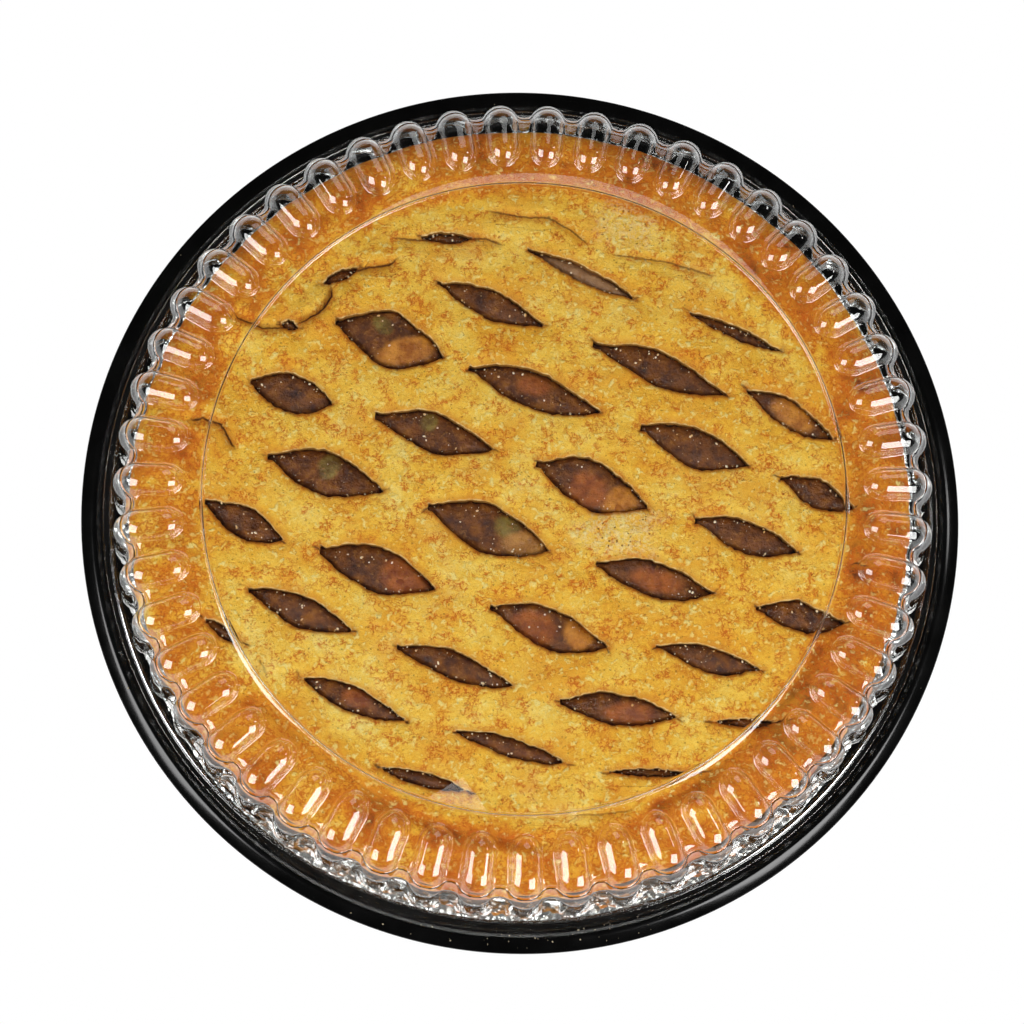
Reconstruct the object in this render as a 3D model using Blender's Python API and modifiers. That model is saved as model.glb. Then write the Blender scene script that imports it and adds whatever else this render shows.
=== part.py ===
"""Lattice fruit pie in its foil pan, in a black carry tray under a clear fluted dome.

Everything stands upright in metres, with +Z up and the origin on the table under the middle
of the tray. Heights inside the pack are given from the top of the tray's outer lip, and
lip_height() turns them into heights above the table.
"""
import math

import bmesh
import bpy

MM = 0.001

# Pack as a whole
LIP_HEIGHT = 34.0 * MM        # table to the tray's outer lip
TURN_STEPS = 32               # facets round every turned piece
MERGE = 0.00001
SHARP_ANGLE = math.radians(38.0)   # edges bent more than this are shaded sharp

# Black thermoformed tray, given by its upper face
TRAY_RADIUS = 133.0 * MM
TRAY_SHEET = 0.9 * MM
TRAY_FLOOR_RADIUS = 95.0 * MM
TRAY_CORNER_RADIUS = 98.3 * MM
TRAY_CORNER_RISE = 2.0 * MM
TRAY_LEDGE_INNER = 115.8 * MM
TRAY_LEDGE_OUTER = 122.3 * MM
TRAY_LEDGE_DROP = 5.3 * MM
TRAY_SEAT_INNER = 123.3 * MM
TRAY_SEAT_OUTER = 127.4 * MM
TRAY_SEAT_DROP = 0.1 * MM
TRAY_RIDGE_INNER = 128.0 * MM
TRAY_RIDGE_OUTER = 129.4 * MM
TRAY_RIDGE_FOOT = 129.9 * MM
TRAY_RIDGE_RISE = 0.5 * MM
TRAY_LIP_FALL = 1.4 * MM

# Foil pan, given by its inner face
FOIL_SHEET = 0.35 * MM
FOIL_FLOOR_RADIUS = 90.0 * MM
FOIL_CORNER_RADIUS = 92.5 * MM
FOIL_CORNER_RISE = 1.5 * MM
FOIL_MOUTH_RADIUS = 115.6 * MM
FOIL_RIM_RADIUS = 121.0 * MM
FOIL_ROLL_RADIUS = 1.1 * MM
FOIL_RIM_DROP = 2.8 * MM

# Pie
CRUST_CENTRE_RISE = 12.5 * MM
CRUST_DROOP = 6.5 * MM
CRUST_DROOP_RADIUS = 106.0 * MM
CRUST_ROLL_RISE = 1.8 * MM
CRUST_ROLL_RADIUS = 106.0 * MM
CRUST_ROLL_SPREAD = 6.0 * MM
CRUST_SHOULDER_RADIUS = 108.5 * MM
CRUST_RADIUS = 118.4 * MM
CRUST_SHEET = 4.5 * MM
CRUST_FOOT_INNER = 109.5 * MM
CRUST_FOOT_DROP = 2.4 * MM
CRUST_FOOT_RADIUS = 118.0 * MM
CRUST_EDGE_DROP = 0.8 * MM
CRUST_TOP_RINGS = [ring * MM for ring in (0.0, 45.0, 75.0, 97.0, 106.0, 113.0, 117.2)]
CRUST_UNDER_RINGS = [ring * MM for ring in (104.0, 90.0, 60.0, 0.0)]
CRUST_UNEVEN_RADIUS = 0.5 * MM
CRUST_UNEVEN_HEIGHT = 0.6 * MM
FILLING_TOP_RINGS = [ring * MM for ring in (0.0, 60.0, 90.0, 103.0)]
FILLING_SHOULDER_RADIUS = 109.1 * MM
FILLING_RADIUS = 115.0 * MM
GAP = 0.3 * MM                 # clearance between neighbouring pieces

# Openings of the rolled lattice, on the flat sheet before it is draped over the filling
OPENING_PITCH = 53.7 * MM
OPENING_ROW_SPACING = 22.9 * MM
OPENING_STAGGER = 26.4 * MM
OPENING_ROW_ANGLE = math.radians(-17.7)
OPENING_FIRST = (-6.9 * MM, -9.7 * MM)
DRAPE_RADIUS = 112.4 * MM
DRAPE_CENTRE = (-1.6 * MM, 1.6 * MM)
OPENING_FIELD_RADIUS = 99.0 * MM
OPENING_LENGTH = 39.0 * MM
OPENING_WIDTH = 15.0 * MM
OPENING_WIDTH_LEAST = 3.6 * MM   # before its own share of the width
OPENING_PEAK = 0.16           # widest place on each side, as a share of the half-length
OPENING_FULLNESS = 1.6        # power of each side's curve: 1 is straight, 2 is round
OPENING_ANGLE = math.radians(-20.8)
OPENING_TURN = math.radians(-0.07) / MM   # turn for each unit up across the rows
OPENING_ENDS_FADE = 95.0 * MM
OPENING_ENDS_SHORTEN = 0.33   # share of the length lost at that distance along the rows
OPENING_ENDS_NARROW = 0.35
OPENING_ROWS_FADE = 93.0 * MM
OPENING_ROWS_SHORTEN = 0.15
OPENING_SIDE_STEPS = 4
LATTICE_REACH = 5             # rows and places tried on each side of the first opening
OPENINGS_CLOSED = {(-5, 2), (-5, 3), (0, -2), (4, -3), (4, -1)}   # cuts that never opened
# How the hand-laid dough differs from the even lattice, by (row, place): shift to the right and
# up in millimetres, share of the length, share of the width, turn in degrees.
OPENING_UNEVEN = {
    (-4, 1): (3.5, 0.0, 0.50, 0.70, 8.0),
    (-4, 2): (-0.5, -0.5, 0.95, 1.05, 0.0),
    (-4, 3): (2.0, -1.0, 0.86, 0.75, 3.0),
    (-3, 0): (1.0, 1.0, 0.68, 0.55, 40.0),
    (-3, 1): (1.5, 0.5, 1.00, 0.95, 2.0),
    (-3, 2): (4.0, -3.0, 1.12, 1.05, 8.0),
    (-3, 3): (2.0, 0.0, 1.00, 1.00, -5.0),
    (-2, -1): (7.5, -1.0, 0.42, 0.55, 35.0),
    (-2, 0): (2.0, 2.2, 1.00, 1.50, 4.0),
    (-2, 1): (-2.7, 0.3, 1.12, 0.95, 4.0),
    (-2, 2): (-2.6, 0.0, 1.00, 1.05, 5.0),
    (-2, 3): (-2.4, 2.0, 0.90, 0.95, 0.0),
    (-1, -1): (0.7, 0.6, 0.85, 1.10, 12.0),
    (-1, 0): (-0.5, 0.3, 1.00, 0.87, 5.0),
    (-1, 1): (-3.4, 0.3, 0.96, 1.03, 0.0),
    (-1, 2): (-2.1, 0.7, 1.04, 0.85, 5.0),
    (0, -1): (-2.2, 1.4, 1.08, 1.05, 3.0),
    (0, 0): (-2.0, 0.3, 1.00, 1.02, 0.0),
    (0, 1): (-1.6, 0.8, 1.04, 0.80, 7.0),
    (0, 2): (2.6, 1.6, 1.00, 0.90, 10.0),
    (1, -2): (-0.9, -0.7, 0.88, 0.93, -8.0),
    (1, -1): (-3.1, 0.9, 1.00, 1.12, 0.0),
    (1, 0): (-1.7, -0.4, 1.00, 0.93, 0.0),
    (1, 1): (0.4, 3.0, 1.04, 0.70, 7.0),
    (2, -2): (0.8, -0.5, 1.05, 1.08, -5.0),
    (2, -1): (2.1, 0.0, 0.97, 0.85, 0.0),
    (2, 0): (2.8, 1.1, 1.04, 1.00, 10.0),
    (2, 1): (1.5, 4.5, 0.75, 0.35, 16.0),
    (3, -3): (-1.6, 1.7, 0.50, 0.60, -18.0),
    (3, -2): (0.5, 0.3, 1.00, 1.25, -4.0),
    (3, -1): (1.3, 1.0, 1.00, 0.95, 0.0),
    (3, 0): (0.0, 2.5, 0.85, 0.50, 16.0),
    (4, -2): (-0.4, -0.3, 0.85, 1.30, 0.0),
}

# Clear dome, given by its outer face
DOME_SHEET = 0.6 * MM
FLUTES = 51
FLANGE_RADIUS = 126.4 * MM
FLANGE_RISE = 0.9 * MM
# Each row across the flutes, in millimetres, from the panel out: the rib's radius, rise and
# half-width, then the valley's radius, rise and half-distance from the rib's middle line.
DOME_ROWS = {
    "rib_end": ((100.6, 26.3, 3.0), (103.0, 26.3, 4.9)),
    "ridge_inner": ((105.0, 30.9, 2.6), (106.0, 26.3, 5.3)),
    "ridge_outer": ((114.6, 29.5, 2.8), (113.2, 25.9, 5.5)),
    "shoulder": ((120.9, 20.9, 3.1), (117.8, 19.5, 5.9)),
    "wall_foot": ((122.5, 1.3, 3.3), (119.9, 1.3, 6.0)),
}


def lip_height(rise):
    """Height above the table of a point that far above the tray's outer lip."""
    return LIP_HEIGHT + rise


def clear_scene():
    """Remove every object of the start-up scene."""
    for item in list(bpy.data.objects):
        bpy.data.objects.remove(item, do_unlink=True)


def new_collection(name):
    """A collection linked to the scene."""
    group = bpy.data.collections.new(name)
    bpy.context.scene.collection.children.link(group)
    return group


def new_material(name, colour, roughness, metallic=0.0, alpha=1.0, transmission=0.0):
    """A Principled material in one plain finish."""
    material = bpy.data.materials.new(name)
    material.use_nodes = True
    shader = material.node_tree.nodes["Principled BSDF"]
    shader.inputs["Base Color"].default_value = (*colour, 1.0)
    shader.inputs["Roughness"].default_value = roughness
    shader.inputs["Metallic"].default_value = metallic
    shader.inputs["Alpha"].default_value = alpha
    shader.inputs["Transmission Weight"].default_value = transmission
    return material


def add_object(name, mesh, group, material=None):
    """A named object in a collection, with its own material."""
    item = bpy.data.objects.new(name, mesh)
    group.objects.link(item)
    if material is not None:
        mesh.materials.append(material)
    return item


def profile_mesh(name, points):
    """An open polyline in the XZ plane from (radius, height) pairs."""
    mesh = bpy.data.meshes.new(name)
    edges = [(i, i + 1) for i in range(len(points) - 1)]
    mesh.from_pydata([(r, 0.0, z) for r, z in points], edges, [])
    return mesh


def add_turned(name, points, group, material, sheet=0.0):
    """A turned piece: a profile with Screw, and with Solidify where it is a thin sheet."""
    item = add_object(name, profile_mesh(name, points), group, material)
    screw = item.modifiers.new("turn", "SCREW")
    screw.axis = "Z"
    screw.angle = math.tau
    screw.steps = TURN_STEPS
    screw.render_steps = TURN_STEPS
    screw.use_merge_vertices = True
    screw.merge_threshold = MERGE
    if sheet:
        solid = item.modifiers.new("sheet", "SOLIDIFY")
        solid.thickness = sheet
        solid.offset = -1.0
        solid.use_even_offset = True
    shade_round(item)
    return item


def shade_round(item):
    """Apply the piece's modifiers, then shade it smooth up to its sharp edges."""
    graph = bpy.context.evaluated_depsgraph_get()
    mesh = bpy.data.meshes.new_from_object(item.evaluated_get(graph))
    item.modifiers.clear()
    item.data = mesh
    mesh.shade_smooth()
    mesh.set_sharp_from_angle(angle=SHARP_ANGLE)


def build_tray(group):
    """Deep black tray: floor, sloping wall, ledge for the foil rim, seat and ridge for the dome."""
    ledge = lip_height(-TRAY_LEDGE_DROP)
    seat = lip_height(-TRAY_SEAT_DROP)
    ridge = lip_height(TRAY_RIDGE_RISE)
    points = [
        (0.0, TRAY_SHEET),
        (TRAY_FLOOR_RADIUS, TRAY_SHEET),
        (TRAY_CORNER_RADIUS, TRAY_SHEET + TRAY_CORNER_RISE),
        (TRAY_LEDGE_INNER, ledge),
        (TRAY_LEDGE_OUTER, ledge),
        (TRAY_SEAT_INNER, seat),
        (TRAY_SEAT_OUTER, seat),
        (TRAY_RIDGE_INNER, ridge),
        (TRAY_RIDGE_OUTER, ridge),
        (TRAY_RIDGE_FOOT, LIP_HEIGHT),
        (TRAY_RADIUS, LIP_HEIGHT),
        (TRAY_RADIUS, lip_height(-TRAY_LIP_FALL)),
    ]
    material = new_material("black_plastic", (0.012, 0.012, 0.012), 0.18)
    return add_turned("tray", points, group, material, TRAY_SHEET)


def foil_floor_height():
    """Height of the foil's upper face, above the tray's floor and the gap between them."""
    return TRAY_SHEET + GAP + FOIL_SHEET


def build_foil_pan(group):
    """Foil pan: flat floor, sloping wall, short rim rolled under at its edge."""
    floor = foil_floor_height()
    rim = lip_height(-FOIL_RIM_DROP)
    roll = FOIL_ROLL_RADIUS
    points = [
        (0.0, floor),
        (FOIL_FLOOR_RADIUS, floor),
        (FOIL_CORNER_RADIUS, floor + FOIL_CORNER_RISE),
        (FOIL_MOUTH_RADIUS, rim),
        (FOIL_RIM_RADIUS - roll, rim),
        (FOIL_RIM_RADIUS, rim - roll),
        (FOIL_RIM_RADIUS - roll, rim - 2.0 * roll + FOIL_SHEET),
    ]
    material = new_material("foil", (0.72, 0.72, 0.73), 0.32, metallic=1.0)
    return add_turned("foil_pan", points, group, material, FOIL_SHEET)


def crust_rise(radius):
    """Rise of the crust's top above the lip: a low dome with a puffed roll at the rim."""
    def inner(at):
        droop = CRUST_DROOP * (at / CRUST_DROOP_RADIUS) ** 2
        roll = CRUST_ROLL_RISE * math.exp(-((at - CRUST_ROLL_RADIUS) / CRUST_ROLL_SPREAD) ** 2)
        return CRUST_CENTRE_RISE - droop + roll

    if radius <= CRUST_SHOULDER_RADIUS:
        return inner(radius)
    share = (radius - CRUST_SHOULDER_RADIUS) / (CRUST_RADIUS - CRUST_SHOULDER_RADIUS)
    top = inner(CRUST_SHOULDER_RADIUS)
    return (top + CRUST_EDGE_DROP) * math.sqrt(max(0.0, 1.0 - share ** 2)) - CRUST_EDGE_DROP


def uneven(angle, first, second):
    """A gentle hand-made waver round the pie, between about -1 and 1."""
    return 0.6 * math.sin(first * angle + 0.8) + 0.4 * math.sin(second * angle + 2.1)


def spin_profile(points):
    """A bmesh turned from a closed (radius, height) section that starts and ends on the axis."""
    shape = bmesh.new()
    line = [shape.verts.new((r, 0.0, z)) for r, z in points]
    edges = [shape.edges.new(pair) for pair in zip(line, line[1:])]
    bmesh.ops.spin(
        shape,
        geom=line + edges,
        cent=(0.0, 0.0, 0.0),
        axis=(0.0, 0.0, 1.0),
        angle=math.tau,
        steps=TURN_STEPS,
        use_merge=True,
    )
    bmesh.ops.remove_doubles(shape, verts=shape.verts, dist=MERGE)
    bmesh.ops.recalc_face_normals(shape, faces=shape.faces)
    return shape


def crust_section():
    """Section of the crust: domed top, rounded edge, foot over the foil rim, hollow underside."""
    points = [(r, lip_height(crust_rise(r))) for r in CRUST_TOP_RINGS]
    points.append((CRUST_RADIUS, lip_height(-CRUST_EDGE_DROP)))
    points.append((CRUST_FOOT_RADIUS, lip_height(-CRUST_FOOT_DROP)))
    points.append((CRUST_FOOT_INNER, lip_height(-CRUST_FOOT_DROP)))
    points += [(r, lip_height(crust_rise(r) - CRUST_SHEET)) for r in CRUST_UNDER_RINGS]
    return points


def drape(x, y):
    """Place on the domed pie of a point on the flat sheet, both seen from above."""
    reach = math.hypot(x, y)
    if reach < MERGE:
        return DRAPE_CENTRE
    drawn = DRAPE_RADIUS * math.sin(min(reach / DRAPE_RADIUS, 0.5 * math.pi)) / reach
    return (x * drawn + DRAPE_CENTRE[0], y * drawn + DRAPE_CENTRE[1])


def lattice_sites():
    """Key and middle of every opening of the rolled lattice that lies inside the rim."""
    along = (math.cos(OPENING_ROW_ANGLE), math.sin(OPENING_ROW_ANGLE))
    across = (along[1], -along[0])
    for row in range(-LATTICE_REACH, LATTICE_REACH + 1):
        for place in range(-LATTICE_REACH, LATTICE_REACH + 1):
            run = place * OPENING_PITCH + row * OPENING_STAGGER
            fall = row * OPENING_ROW_SPACING
            x = OPENING_FIRST[0] + run * along[0] + fall * across[0]
            y = OPENING_FIRST[1] + run * along[1] + fall * across[1]
            site = drape(x, y)
            if math.hypot(*site) < OPENING_FIELD_RADIUS and (row, place) not in OPENINGS_CLOSED:
                yield (row, place), site


def opening_size(x, y):
    """Length, width and angle of the opening at a place, which close up towards the rim."""
    along = x * math.cos(OPENING_ROW_ANGLE) + y * math.sin(OPENING_ROW_ANGLE)
    across = y * math.cos(OPENING_ROW_ANGLE) - x * math.sin(OPENING_ROW_ANGLE)
    ends = (along / OPENING_ENDS_FADE) ** 2
    rows = (across / OPENING_ROWS_FADE) ** 2
    length = (1.0 - OPENING_ENDS_SHORTEN * ends) * (1.0 - OPENING_ROWS_SHORTEN * rows)
    length *= OPENING_LENGTH
    width = OPENING_WIDTH * (1.0 - OPENING_ENDS_NARROW * ends) * (1.0 - rows)
    return length, max(width, OPENING_WIDTH_LEAST), OPENING_ANGLE + OPENING_TURN * across


def opening_outline(key, site):
    """Eye-shaped outline of one opening, with its fuller side nearer the right-hand end."""
    right, up, length_share, width_share, turn = OPENING_UNEVEN[key]
    length, width, angle = opening_size(*site)
    length *= length_share
    width *= width_share
    angle += math.radians(turn)
    site = (site[0] + right * MM, site[1] + up * MM)
    outline = []
    for side in (1.0, -1.0):
        peak = OPENING_PEAK * side
        for step in range(OPENING_SIDE_STEPS):
            u = side * (-1.0 + 2.0 * step / OPENING_SIDE_STEPS)
            reach = (u - peak) / (1.0 - peak if u > peak else -1.0 - peak)
            v = side * (1.0 - abs(reach) ** OPENING_FULLNESS)
            x = 0.5 * length * u
            y = 0.5 * width * v
            outline.append((
                site[0] + x * math.cos(angle) - y * math.sin(angle),
                site[1] + x * math.sin(angle) + y * math.cos(angle),
            ))
    return outline


def build_opening_cutter(group):
    """One cutter that holds an upright prism for every opening, taller than the crust."""
    shape = bmesh.new()
    bottom = lip_height(-CRUST_FOOT_DROP)
    rise = 1.5 * CRUST_CENTRE_RISE
    for key, site in lattice_sites():
        ring = [shape.verts.new((x, y, bottom)) for x, y in opening_outline(key, site)]
        face = shape.faces.new(ring)
        grown = bmesh.ops.extrude_face_region(shape, geom=[face])
        raised = [part for part in grown["geom"] if isinstance(part, bmesh.types.BMVert)]
        bmesh.ops.translate(shape, verts=raised, vec=(0.0, 0.0, rise))
    bmesh.ops.recalc_face_normals(shape, faces=shape.faces)
    mesh = bpy.data.meshes.new("opening_cutter")
    shape.to_mesh(mesh)
    shape.free()
    cutter = add_object("opening_cutter", mesh, group)
    cutter.hide_render = True
    cutter.display_type = "WIRE"
    return cutter


def build_crust(group, cutters):
    """Top crust in one piece: draped sheet with its lattice of openings and a rolled rim."""
    shape = spin_profile(crust_section())
    for vert in shape.verts:
        radius = math.hypot(vert.co.x, vert.co.y)
        if radius < CRUST_UNDER_RINGS[0] + GAP or vert.co.z < lip_height(0.0):
            continue
        angle = math.atan2(vert.co.y, vert.co.x)
        drawn = 1.0 - CRUST_UNEVEN_RADIUS * (1.0 + uneven(angle, 3, 7)) / radius
        vert.co.x *= drawn
        vert.co.y *= drawn
        vert.co.z += CRUST_UNEVEN_HEIGHT * uneven(angle, 5, 8)
    mesh = bpy.data.meshes.new("lattice_crust")
    shape.to_mesh(mesh)
    shape.free()
    material = new_material("baked_crust", (0.66, 0.40, 0.075), 0.6)
    item = add_object("lattice_crust", mesh, group, material)
    cut = item.modifiers.new("openings", "BOOLEAN")
    cut.operation = "DIFFERENCE"
    cut.solver = "EXACT"
    cut.object = build_opening_cutter(cutters)
    shade_round(item)
    return item


def build_filling(group):
    """Fruit filling: fills the foil pan and rises to the underside of the crust."""
    floor = foil_floor_height()
    under_crust = CRUST_SHEET + GAP
    points = [(r, lip_height(crust_rise(r) - under_crust)) for r in FILLING_TOP_RINGS]
    points += [
        (FILLING_SHOULDER_RADIUS, lip_height(-CRUST_FOOT_DROP - 2.0 * GAP)),
        (FILLING_RADIUS, lip_height(-FOIL_RIM_DROP - GAP)),
        (FOIL_FLOOR_RADIUS, floor + GAP),
        (0.0, floor + GAP),
    ]
    material = new_material("cooked_fruit", (0.085, 0.032, 0.008), 0.2)
    return add_turned("filling", points, group, material)


def dome_ring(shape, row):
    """One row of the dome: valley, rib, rib, valley for every flute, in order round the axis."""
    ring = []
    (rib_radius, rib_rise, rib_half), (dip_radius, dip_rise, dip_half) = row
    for flute in range(FLUTES):
        middle = (flute + 0.5) * math.tau / FLUTES + 0.5 * math.pi
        for radius, rise, across in (
            (dip_radius, dip_rise, -dip_half),
            (rib_radius, rib_rise, -rib_half),
            (rib_radius, rib_rise, rib_half),
            (dip_radius, dip_rise, dip_half),
        ):
            x = (radius * math.cos(middle) - across * math.sin(middle)) * MM
            y = (radius * math.sin(middle) + across * math.cos(middle)) * MM
            ring.append(shape.verts.new((x, y, lip_height(rise * MM))))
    return ring


def flange_ring(shape, pattern):
    """Round edge of the flange, with a point on the line of each point of a fluted row."""
    ring = []
    for vert in pattern:
        reach = math.hypot(vert.co.x, vert.co.y)
        x = vert.co.x * FLANGE_RADIUS / reach
        y = vert.co.y * FLANGE_RADIUS / reach
        ring.append(shape.verts.new((x, y, lip_height(FLANGE_RISE))))
    return ring


def build_dome(group):
    """Clear dome: flat panel, half-round ribs that turn down into a fluted wall, and a flange."""
    shape = bmesh.new()
    rings = [dome_ring(shape, row) for row in DOME_ROWS.values()]
    rings.append(flange_ring(shape, rings[-1]))
    shape.faces.new(rings[0])
    for upper, lower in zip(rings, rings[1:]):
        count = len(upper)
        for i in range(count):
            j = (i + 1) % count
            shape.faces.new((upper[i], lower[i], lower[j], upper[j]))
    bmesh.ops.recalc_face_normals(shape, faces=shape.faces)
    if shape.faces[0].normal.z < 0.0:
        bmesh.ops.reverse_faces(shape, faces=shape.faces)
    mesh = bpy.data.meshes.new("dome")
    shape.to_mesh(mesh)
    shape.free()
    material = new_material("clear_plastic", (0.95, 0.95, 0.95), 0.05, alpha=0.35, transmission=1.0)
    item = add_object("dome", mesh, group, material)
    solid = item.modifiers.new("sheet", "SOLIDIFY")
    solid.thickness = DOME_SHEET
    solid.offset = -1.0
    solid.use_even_offset = True
    shade_round(item)
    return item


def main():
    """Build every piece of the pack."""
    clear_scene()
    parts = new_collection("lattice_pie")
    cutters = new_collection("cutters")
    build_tray(parts)
    build_foil_pan(parts)
    build_filling(parts)
    build_crust(parts, cutters)
    build_dome(parts)


main()
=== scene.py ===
"""Looks of a lattice fruit pie in its foil pan, in a black carry tray under a clear fluted dome.

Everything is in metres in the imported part's own frame: +Z up, origin on the table under the
middle of the tray.  Rises are heights above the tray's outer lip.
"""
import logging
import math
import random
from dataclasses import dataclass, field
from enum import Enum
from typing import Sequence

import bmesh
import bpy
import numpy as np
from mathutils import Matrix, Vector
from mathutils.geometry import delaunay_2d_cdt


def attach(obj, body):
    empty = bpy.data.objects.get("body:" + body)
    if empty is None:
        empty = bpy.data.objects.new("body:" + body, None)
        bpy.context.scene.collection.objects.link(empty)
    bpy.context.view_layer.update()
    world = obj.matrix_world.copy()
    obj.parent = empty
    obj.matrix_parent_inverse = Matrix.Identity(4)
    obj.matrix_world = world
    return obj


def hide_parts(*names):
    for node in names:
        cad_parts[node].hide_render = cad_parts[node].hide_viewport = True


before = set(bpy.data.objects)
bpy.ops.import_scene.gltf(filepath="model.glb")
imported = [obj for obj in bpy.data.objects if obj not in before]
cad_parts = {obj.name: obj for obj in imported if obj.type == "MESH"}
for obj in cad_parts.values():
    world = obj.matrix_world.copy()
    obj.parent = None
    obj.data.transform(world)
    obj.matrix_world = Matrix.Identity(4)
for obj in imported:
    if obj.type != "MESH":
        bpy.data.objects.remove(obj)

log = logging.getLogger("pie")

MM = 0.001
LIP = 34.0 * MM            # table to the tray's outer lip
REACH_MM = 4.0             # distance that the "gap" and "seam" attributes reach
FAR = 30.0 * MM            # distance given to places with no edge or crease near them
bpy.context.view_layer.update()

Array = np.ndarray
Piece = bpy.types.Object
Point2 = tuple[float, float]
Point3 = tuple[float, float, float]
Layer = tuple[float, float, int]        # one unevenness: strength, size in mm, and seed


# ---------------------------------------------------------------- bench: modelling helpers


def deselect_all() -> None:
    """Leave edit mode and select nothing."""
    if bpy.context.object is not None and bpy.context.object.mode != "OBJECT":
        bpy.ops.object.mode_set(mode="OBJECT")
    bpy.ops.object.select_all(action="DESELECT")


def take_up(piece: Piece) -> None:
    """Make one piece the only selected and the active one.

    Args:
        piece: The object to work on.
    """
    deselect_all()
    piece.select_set(True)
    bpy.context.view_layer.objects.active = piece


def open_up(piece: Piece, action: str = "SELECT", kind: str = "EDGE") -> None:
    """Take a piece into edit mode.

    Args:
        piece: The object to work on.
        action: SELECT or DESELECT, for all of it.
        kind: What is selected by: EDGE or FACE.
    """
    take_up(piece)
    bpy.ops.object.mode_set(mode="EDIT")
    bpy.ops.mesh.select_mode(type=kind)
    bpy.ops.mesh.select_all(action=action)


def put_down() -> None:
    """Go back to object mode, where the mesh can be read."""
    bpy.ops.object.mode_set(mode="OBJECT")


def open_at(piece: Piece, kind: str, chosen: Array) -> None:
    """Take a piece into edit mode with only some of its edges or faces selected.

    Args:
        piece: The object to work on.
        kind: EDGE or FACE.
        chosen: True for each edge or face to select.
    """
    open_up(piece, "DESELECT", kind)
    put_down()
    elements = piece.data.edges if kind == "EDGE" else piece.data.polygons
    elements.foreach_set("select", chosen)
    bpy.ops.object.mode_set(mode="EDIT")


def new_piece(name: str) -> Piece:
    """Name the active object, which was just added, and its mesh.

    Args:
        name: The piece's name.

    Returns:
        The object.
    """
    piece = bpy.context.object
    piece.name = piece.data.name = name
    return piece


def joined(pieces: Sequence[Piece], name: str) -> Piece:
    """Join pieces into one.

    Args:
        pieces: The objects to join.
        name: The new piece's name.

    Returns:
        The one object.
    """
    take_up(pieces[0])
    for piece in pieces:
        piece.select_set(True)
    bpy.ops.object.join()
    return new_piece(name)


def apply_modifier(piece: Piece, kind: str, **settings: object) -> None:
    """Add a modifier with its settings and apply it.

    Args:
        piece: The object that takes the modifier.
        kind: Blender's name for the modifier's type.
        **settings: Values for the modifier's own properties.
    """
    take_up(piece)
    modifier = piece.modifiers.new(kind.lower(), kind)
    for key, value in settings.items():
        setattr(modifier, key, value)
    bpy.ops.object.modifier_apply(modifier=modifier.name)


def coords(piece: Piece) -> Array:
    """Vertex places of a mesh piece.

    Args:
        piece: A mesh object at the origin.

    Returns:
        One row of x, y, z for each vertex.
    """
    flat = np.empty(len(piece.data.vertices) * 3)
    piece.data.vertices.foreach_get("co", flat)
    return flat.reshape(-1, 3)


def set_coords(piece: Piece, places: Array) -> None:
    """Move a piece's vertices to new places, one row of x, y, z for each."""
    piece.data.vertices.foreach_set("co", places.astype(np.float32).ravel())
    piece.data.update()


def paint(piece: Piece, **layers: Array) -> None:
    """Store numbers for each vertex, for the finish to read.

    Args:
        piece: A mesh object.
        **layers: One value for each vertex, by the attribute's name.
    """
    for name, values in layers.items():
        layer = piece.data.attributes.new(name, "FLOAT", "POINT")
        layer.data.foreach_set("value", values.astype(np.float32))


def settle(piece: Piece, weld: float = 0.0) -> None:
    """Weld a piece's doubles and turn its faces outwards.

    Args:
        piece: A mesh object.
        weld: Distance under which vertices are merged, or 0 for none.
    """
    open_up(piece)
    if weld:
        bpy.ops.mesh.remove_doubles(threshold=weld)
    bpy.ops.mesh.normals_make_consistent(inside=False)
    put_down()


def next_ring(rise: float, share: float, height: float, upright: float = 1.0) -> None:
    """Extrude the selected ring of edges and resize the new one about the axis.

    Args:
        rise: How far the new ring goes up.
        share: Its radius over the old one's.
        height: Height about which it is resized.
        upright: Share of its unevenness in height that it keeps.
    """
    bpy.ops.mesh.extrude_edges_move(TRANSFORM_OT_translate={"value": (0.0, 0.0, rise)})
    bpy.ops.transform.resize(value=(share, share, upright), center_override=(0.0, 0.0, height))


def rings_outward(name: str, profile: Sequence[Point2], sides: int) -> Piece:
    """A round open sheet: a filled circle whose edge is extruded and resized along a profile.

    Args:
        name: The piece's name.
        profile: (radius, height) of each ring, from the middle out.
        sides: Sides of the circle.

    Returns:
        The sheet, as an object at the origin.
    """
    deselect_all()
    radius, height = profile[0]
    bpy.ops.mesh.primitive_circle_add(
        vertices=sides, radius=radius, fill_type="NGON", location=(0.0, 0.0, height)
    )
    piece = new_piece(name)
    bpy.ops.object.transform_apply(location=True)
    open_up(piece)
    for next_radius, next_height in profile[1:]:
        next_ring(next_height - height, next_radius / radius, next_height)
        radius, height = next_radius, next_height
    put_down()
    settle(piece, 0.001 * MM)
    return piece


def lumps(x: Array, y: Array, size: float, seed: int) -> Array:
    """Smooth unevenness between -1 and 1.

    Args:
        x: First coordinate of each place.
        y: Second coordinate of each place.
        size: Rough distance from one lump to the next, in the same unit.
        seed: Which unevenness to draw.

    Returns:
        One value for each place.
    """
    side = 97
    table = np.random.default_rng(seed).uniform(-1.0, 1.0, (side, side))
    u, v = x / size + 0.37 * seed, y / size + 0.61 * seed
    i, j = np.floor(u).astype(int), np.floor(v).astype(int)
    fu, fv = u - i, v - j
    su, sv = fu * fu * (3.0 - 2.0 * fu), fv * fv * (3.0 - 2.0 * fv)
    near, far = (
        table[i % side, row % side] * (1.0 - su) + table[(i + 1) % side, row % side] * su
        for row in (j, j + 1)
    )
    return near * (1.0 - sv) + far * sv


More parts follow.
